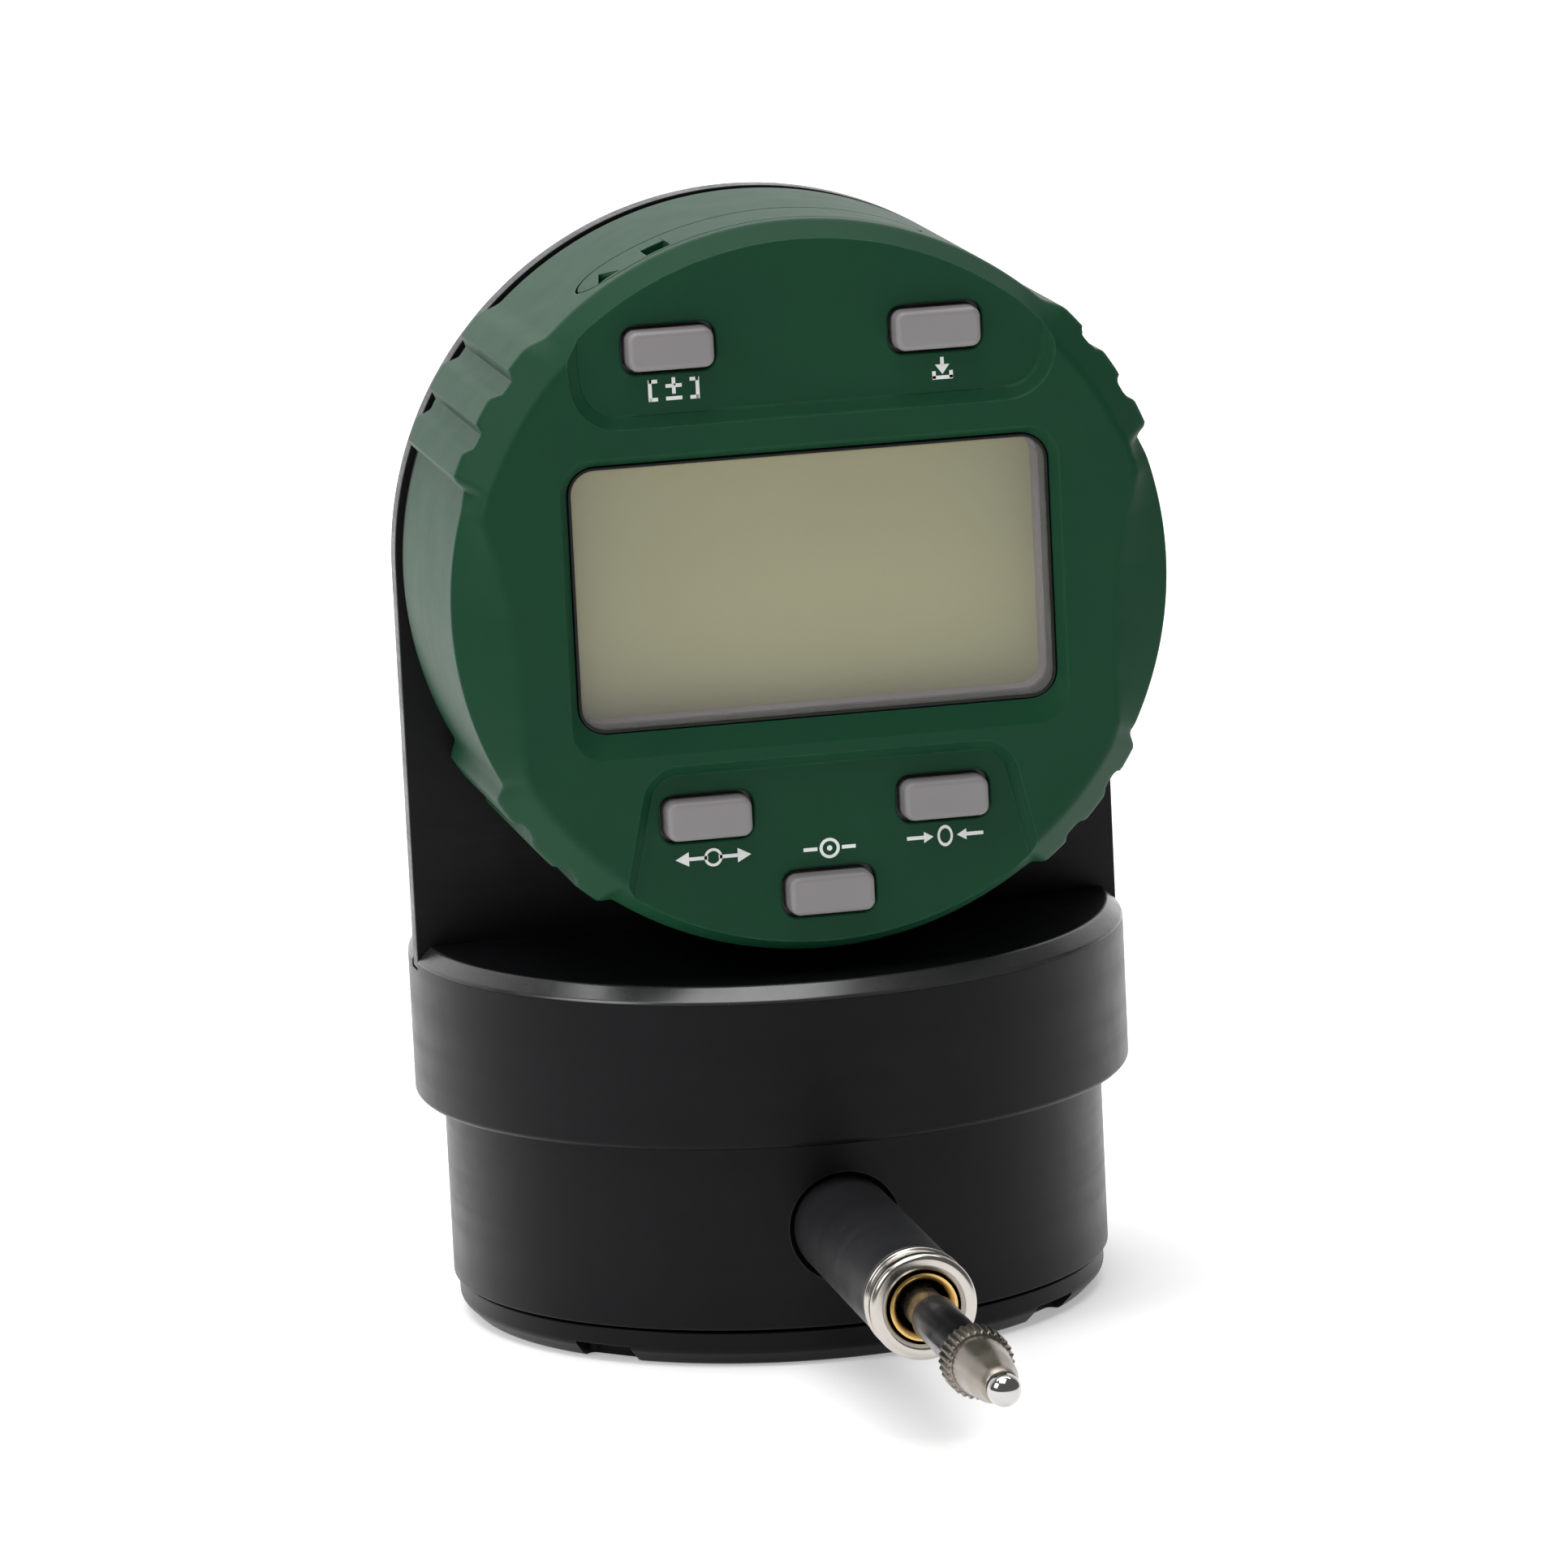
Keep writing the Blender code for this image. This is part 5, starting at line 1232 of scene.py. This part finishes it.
def mark_shape(parts, y):
    """Flat bars, arrows and rings joined into one thin printed mark."""
    bm = bmesh.new()
    for kind, x, z, wide, tall in parts:
        if kind == "bar":
            made = bmesh.ops.create_grid(bm, x_segments=1, y_segments=1, size=0.5)["verts"]
        elif kind == "ring":
            made = bmesh.ops.create_circle(bm, cap_ends=True, segments=40, radius=0.5)["verts"]
            face = made[0].link_faces[0]
            band = step_face(bm, face, 0.15, 0.0)
            bmesh.ops.delete(bm, geom=[face], context="FACES_ONLY")
            made = list({v for f in band for v in f.verts})
        elif kind == "dot":
            made = bmesh.ops.create_circle(bm, cap_ends=True, segments=24, radius=0.5)["verts"]
        else:
            made = bmesh.ops.create_circle(bm, cap_ends=True, segments=3, radius=0.6)["verts"]
            turn = {"left": math.pi / 2, "right": -math.pi / 2, "down": math.pi}[kind]
            bmesh.ops.rotate(bm, verts=made, cent=(0, 0, 0), matrix=Matrix.Rotation(turn, 3, "Z"))
        bmesh.ops.scale(bm, verts=made, vec=(wide, tall, 1.0))
        bmesh.ops.translate(bm, verts=made, vec=(x, z, 0.0))
    swing(bm, math.pi / 2, "X")
    extrude(bm, (0.0, -2 * MARKED, 0.0))
    move(bm, (0.0, y + MARKED, 0.0))
    return tidy(bm)


THIN = 0.34
# Each mark's middle and its panel, then its parts as (kind, x, z, width, height) from there, in millimetres
MARKS = {
    "tolerance_mark": (-12.1, 92.2, "panel_depth", (
        ("bar", 0, 0.35, 1.5, THIN), ("bar", 0, 0.35, THIN, 1.5), ("bar", 0, -0.8, 1.5, THIN),
        ("bar", -2.2, 0, THIN, 2.0), ("bar", 2.2, 0, THIN, 2.0),
        ("bar", -1.9, 0.83, 0.8, THIN), ("bar", -1.9, -0.83, 0.8, THIN),
        ("bar", 1.9, 0.83, 0.8, THIN), ("bar", 1.9, -0.83, 0.8, THIN),
    )),
    "memory_mark": (12.9, 92.2, "panel_depth", (
        ("down", 0, 0.05, 1.3, 1.0), ("bar", 0, 0.62, THIN, 0.8), ("bar", 0, -0.85, 1.9, THIN),
        ("bar", -0.8, -0.6, THIN, 0.7), ("bar", 0.8, -0.6, THIN, 0.7),
    )),
    "units_mark": (-10.6, 48.6, "lower_depth", (
        ("left", -2.7, 0.1, 1.4, 1.3), ("right", 2.7, 0.1, 1.4, 1.3), ("bar", -1.4, 0.1, 1.8, THIN),
        ("bar", 1.4, 0.1, 1.8, THIN), ("ring", 0, 0.1, 1.7, 1.7),
    )),
    "absolute_mark": (0.3, 48.6, "lower_depth", (
        ("ring", 0, 0, 1.9, 1.9), ("dot", 0, 0, 0.5, 0.5), ("bar", -1.8, 0, 1.3, THIN), ("bar", 1.8, 0, 1.3, THIN),
    )),
    "zero_mark": (11.2, 48.8, "lower_depth", (
        ("ring", 0, 0, 1.45, 2.0), ("right", -1.7, 0, 1.0, 1.0), ("left", 1.7, 0, 1.0, 1.0),
        ("bar", -2.8, 0, 1.6, THIN), ("bar", 2.8, 0, 1.6, THIN),
    )),
}


def build_marks(sizes):
    """Plain signs by the buttons: plus and minus, store, swap, datum and zero."""
    mm = 0.001
    for name, (x, z, depth, parts) in MARKS.items():
        placed = [(kind, (x + dx) * mm, (z + dz) * mm, wide * mm, tall * mm) for kind, dx, dz, wide, tall in parts]
        place_piece(name, mark_shape(placed, HOUSING_FRONT + getattr(sizes, depth)), ["mark"], "head")


def build_drawer(sizes):
    """The strip in the rim, with its pointer notch and its coin slot, on the tray that holds the cell."""
    low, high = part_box("battery_cover")
    mid_y = (low.y + high.y) / 2
    outline = box_corners((low.x + high.x) / 2, mid_y, high.x - low.x, high.y - low.y)
    strip = prism(outline, low.z, high.z + 0.002, "Z", (high.y - low.y) / 2 - 1e-5, 12)
    rim_shape = turned(rod(sizes.rim_radius, low.y - 0.002, high.y + 0.002), RIM_STEPS, HEAD_AXIS, True)
    notch = [(-0.0176, mid_y - 0.0026), (-0.0155, mid_y - 0.0026), (-0.0169, mid_y + 0.0008)]
    pointer = prism(notch, 0.1009, 0.110, "Z")
    slot = prism(box_corners(-0.0119, mid_y - 0.0013, 0.0023, 0.0032), 0.1014, 0.110, "Z", 0.0001)
    cover = tidy(carved(strip, [pointer, slot], keeps=[rim_shape]))
    rim = [e for e in sharp_edges(cover, 50.0)
           if all(math.hypot(v.co.x, v.co.z - HEAD_Z) > sizes.rim_radius - 0.00004 for v in e.verts)]
    soften(cover, rim, 0.00022, 3)
    place_piece("drawer_strip", cover, ["green"], "battery_drawer", ["battery_cover"], 34.0)


def dress_inner_pieces():
    """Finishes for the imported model's nodes that are right as they are."""
    dress(["pivot_hub", "friction_washer", "hub_nut", "guide_rod", "carrier_screw", "stem_set_screw",
           *HOUSING_SCREWS], "steel")
    dress(["coin_cell"], "cell")
    dress(["rear_bush"], "brass")
    dress(["contact_positive", "contact_negative"], "contact")
    dress(["sensor_board", "main_board"], "board")
    dress(["keypad_mat_upper", "keypad_mat_lower"], "rubber")
    dress(["battery_tray", "read_head"], "moulded")
    dress(["scale_carrier"], "carrier")
    dress(["encoder_scale"], "scale")
    dress(["signal_flex"], "film")


# ---------------------------------------------------------------- stage


def soft_light(name, place, aim, width, height, power):
    lamp = bpy.data.lights.new(name, "AREA")
    lamp.shape = "RECTANGLE"
    lamp.size = width
    lamp.size_y = height
    lamp.energy = power
    obj = bpy.data.objects.new(name, lamp)
    obj.location = place
    obj.rotation_euler = (Vector(aim) - Vector(place)).to_track_quat("-Z", "Y").to_euler()
    bpy.context.scene.collection.objects.link(obj)


def build_floor(settings):
    """A pale floor that curves up into a wall."""
    # A hair below the object, so that the floor and the underside don't share a plane
    floor_z = -HAIR
    bm = bmesh.new()
    corners = [bm.verts.new((-3.0, y, z)) for y, z in ((-2.2, floor_z), (1.6, floor_z), (1.6, 2.6))]
    for pair in zip(corners, corners[1:]):
        bm.edges.new(pair)
    round_corners(bm, [corners[1]], 0.8, 16)
    grown = bmesh.ops.extrude_edge_only(bm, edges=bm.edges[:])
    bmesh.ops.translate(bm, verts=moved_verts(grown), vec=(6.0, 0.0, 0.0))
    mesh = bpy.data.meshes.new("studio_floor")
    for face in bm.faces:
        if face.normal.z < 0.0 or face.normal.y > 0.0:
            face.normal_flip()
    bm.to_mesh(mesh)
    bm.free()
    mesh.shade_smooth()
    floor = bpy.data.objects.new("studio_floor", mesh)
    bpy.context.scene.collection.objects.link(floor)
    mesh.materials.append(surface(
        "studio_paper", tuple(settings.floor), 0.85, grain=0.0008, depth=0.000004, mottle=0.01,
        Specular_IOR_Level=0.1, Emission_Color=(1.0, 1.0, 1.0, 1.0), Emission_Strength=settings.floor_glow))


def build_lights(settings):
    """Even light from all round, and three soft lights."""
    world = bpy.data.worlds.new("studio_room")
    bpy.context.scene.world = world
    world.use_nodes = True
    background = world.node_tree.nodes["Background"]
    background.inputs["Color"].default_value = (1.0, 1.0, 1.0, 1.0)
    background.inputs["Strength"].default_value = settings.world_level
    soft_light("key_left", (-0.80, -0.25, 0.55), (0.0, -0.02, 0.06), 0.45, 0.45, settings.key_power)
    soft_light("top", (-0.15, -0.25, 0.95), (0.0, 0.0, 0.05), 0.6, 0.6, settings.top_power)
    soft_light("wall", (0.0, 0.35, 1.5), (0.0, 1.4, 0.2), 2.0, 0.6, settings.wall_power)


# Where the camera stands, which way it looks, and which way is up in its picture
CAMERA_PLACE = (-0.1775, -0.88892, 0.22446)
CAMERA_FORWARD = (0.19486, 0.96224, -0.19004)
CAMERA_UP = (0.08555, 0.17634, 0.9806)


def build_camera(settings):
    camera = bpy.data.cameras.new("camera")
    camera.lens = settings.lens
    camera.sensor_width = 36.0
    camera.clip_start = 0.05
    camera.clip_end = 20.0
    obj = bpy.data.objects.new("camera", camera)
    forward = Vector(CAMERA_FORWARD).normalized()
    right = forward.cross(Vector(CAMERA_UP)).normalized()
    up = right.cross(forward).normalized()
    turn = Matrix((right, up, -forward)).transposed()
    obj.matrix_world = Matrix.Translation(CAMERA_PLACE) @ turn.to_4x4()
    bpy.context.scene.collection.objects.link(obj)
    bpy.context.scene.camera = obj
    bpy.context.scene.view_settings.view_transform = "Standard"


def build_stage(settings):
    build_floor(settings)
    build_lights(settings)
    build_camera(settings)


# ---------------------------------------------------------------- operators


class Maker:
    """What every operator here shares."""

    bl_options = {"REGISTER", "UNDO"}


class INDICATOR_OT_finishes(Maker, Operator):
    """Make the indicator's finishes from the colours in the panel"""

    bl_idname = "indicator.finishes"
    bl_label = "Finishes"

    def execute(self, context):
        make_finishes()
        return {"FINISHED"}


class INDICATOR_OT_turned_base(Maker, Operator):
    """Build the foot disc, the drum and the flange"""

    bl_idname = "indicator.turned_base"
    bl_label = "Turned base"

    def execute(self, context):
        sizes = context.scene.indicator_stand
        build_base_disc(sizes)
        build_drum(sizes)
        build_flange(sizes)
        return {"FINISHED"}


class INDICATOR_OT_plate(Maker, Operator):
    """Build the upright plate and its folded bracket"""

    bl_idname = "indicator.plate"
    bl_label = "Upright plate"

    def execute(self, context):
        build_plate(context.scene.indicator_stand)
        build_bracket()
        return {"FINISHED"}


class INDICATOR_OT_duct(Maker, Operator):
    """Build the duct cover behind the plate"""

    bl_idname = "indicator.duct"
    bl_label = "Duct cover"

    def execute(self, context):
        build_duct(context.scene.indicator_stand)
        return {"FINISHED"}


class INDICATOR_OT_screws(Maker, Operator):
    """Build the screws that can be seen"""

    bl_idname = "indicator.screws"
    bl_label = "Screws"

    def execute(self, context):
        build_screws()
        return {"FINISHED"}


class INDICATOR_OT_stem(Maker, Operator):
    """Build the stem, its nose ring and its bush"""

    bl_idname = "indicator.stem"
    bl_label = "Stem"

    def execute(self, context):
        build_stem()
        return {"FINISHED"}


class INDICATOR_OT_plunger(Maker, Operator):
    """Build the spindle, its sleeve, the knurled contact and the ball"""

    bl_idname = "indicator.plunger"
    bl_label = "Plunger"

    def execute(self, context):
        build_plunger(context.scene.indicator_plunger)
        return {"FINISHED"}


class INDICATOR_OT_spring(Maker, Operator):
    """Build the return spring"""

    bl_idname = "indicator.spring"
    bl_label = "Return spring"

    def execute(self, context):
        build_spring(context.scene.indicator_plunger)
        return {"FINISHED"}


class INDICATOR_OT_housing(Maker, Operator):
    """Build the head's housing with its grips, panels and holes"""

    bl_idname = "indicator.housing"
    bl_label = "Head housing"

    def execute(self, context):
        build_housing(context.scene.indicator_head)
        return {"FINISHED"}


class INDICATOR_OT_back_cover(Maker, Operator):
    """Build the head's back cover"""

    bl_idname = "indicator.back_cover"
    bl_label = "Back cover"

    def execute(self, context):
        build_back_cover()
        return {"FINISHED"}


class INDICATOR_OT_window(Maker, Operator):
    """Build the window's frame, lens, wall and display"""

    bl_idname = "indicator.window"
    bl_label = "Window and display"

    def execute(self, context):
        build_window(context.scene.indicator_head)
        return {"FINISHED"}


class INDICATOR_OT_buttons(Maker, Operator):
    """Build the five buttons"""

    bl_idname = "indicator.buttons"
    bl_label = "Buttons"

    def execute(self, context):
        build_buttons(context.scene.indicator_head)
        return {"FINISHED"}


class INDICATOR_OT_marks(Maker, Operator):
    """Build the plain signs printed by the buttons"""

    bl_idname = "indicator.marks"
    bl_label = "Printed marks"

    def execute(self, context):
        build_marks(context.scene.indicator_head)
        return {"FINISHED"}


class INDICATOR_OT_drawer(Maker, Operator):
    """Build the battery drawer's strip"""

    bl_idname = "indicator.drawer"
    bl_label = "Battery drawer"

    def execute(self, context):
        build_drawer(context.scene.indicator_head)
        return {"FINISHED"}


class INDICATOR_OT_inner_pieces(Maker, Operator):
    """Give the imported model's inner pieces their finishes"""

    bl_idname = "indicator.inner_pieces"
    bl_label = "Inner pieces"

    def execute(self, context):
        dress_inner_pieces()
        return {"FINISHED"}


class INDICATOR_OT_stage(Maker, Operator):
    """Build the floor, the lights and the camera"""

    bl_idname = "indicator.stage"
    bl_label = "Stage"

    def execute(self, context):
        build_stage(context.scene.indicator_stage)
        return {"FINISHED"}


MAKERS = (
    INDICATOR_OT_finishes,
    INDICATOR_OT_turned_base,
    INDICATOR_OT_plate,
    INDICATOR_OT_duct,
    INDICATOR_OT_screws,
    INDICATOR_OT_stem,
    INDICATOR_OT_plunger,
    INDICATOR_OT_spring,
    INDICATOR_OT_housing,
    INDICATOR_OT_back_cover,
    INDICATOR_OT_window,
    INDICATOR_OT_buttons,
    INDICATOR_OT_marks,
    INDICATOR_OT_drawer,
    INDICATOR_OT_inner_pieces,
    INDICATOR_OT_stage,
)
GROUPS = (IndicatorFinishes, HeadSizes, StandSizes, PlungerSizes, StageSettings)
HELD = (
    ("indicator_finishes", IndicatorFinishes, "Finishes"),
    ("indicator_head", HeadSizes, "Head"),
    ("indicator_stand", StandSizes, "Base and plate"),
    ("indicator_plunger", PlungerSizes, "Plunger"),
    ("indicator_stage", StageSettings, "Stage"),
)


class INDICATOR_PT_maker(Panel):
    """Lists the indicator's pieces, sizes and colours"""

    bl_idname = "INDICATOR_PT_maker"
    bl_label = "Digital indicator"
    bl_space_type = "VIEW_3D"
    bl_region_type = "UI"
    bl_category = "Indicator"

    def draw(self, context):
        for maker in MAKERS:
            self.layout.operator(maker.bl_idname)
        for held, group, title in HELD:
            box = self.layout.box()
            box.label(text=title)
            for key in group.__annotations__:
                box.prop(getattr(context.scene, held), key)


def register():
    for item in (*GROUPS, *MAKERS, INDICATOR_PT_maker):
        bpy.utils.register_class(item)
    for held, group, title in HELD:
        setattr(bpy.types.Scene, held, PointerProperty(type=group))


def unregister():
    for held, group, title in HELD:
        delattr(bpy.types.Scene, held)
    for item in reversed((*GROUPS, *MAKERS, INDICATOR_PT_maker)):
        bpy.utils.unregister_class(item)


def main():
    register()
    bpy.ops.indicator.finishes()
    bpy.ops.indicator.turned_base()
    bpy.ops.indicator.plate()
    bpy.ops.indicator.duct()
    bpy.ops.indicator.screws()
    bpy.ops.indicator.stem()
    bpy.ops.indicator.plunger()
    bpy.ops.indicator.spring()
    bpy.ops.indicator.housing()
    bpy.ops.indicator.back_cover()
    bpy.ops.indicator.window()
    bpy.ops.indicator.buttons()
    bpy.ops.indicator.marks()
    bpy.ops.indicator.drawer()
    bpy.ops.indicator.inner_pieces()
    bpy.ops.indicator.stage()


if __name__ == "__main__":
    main()
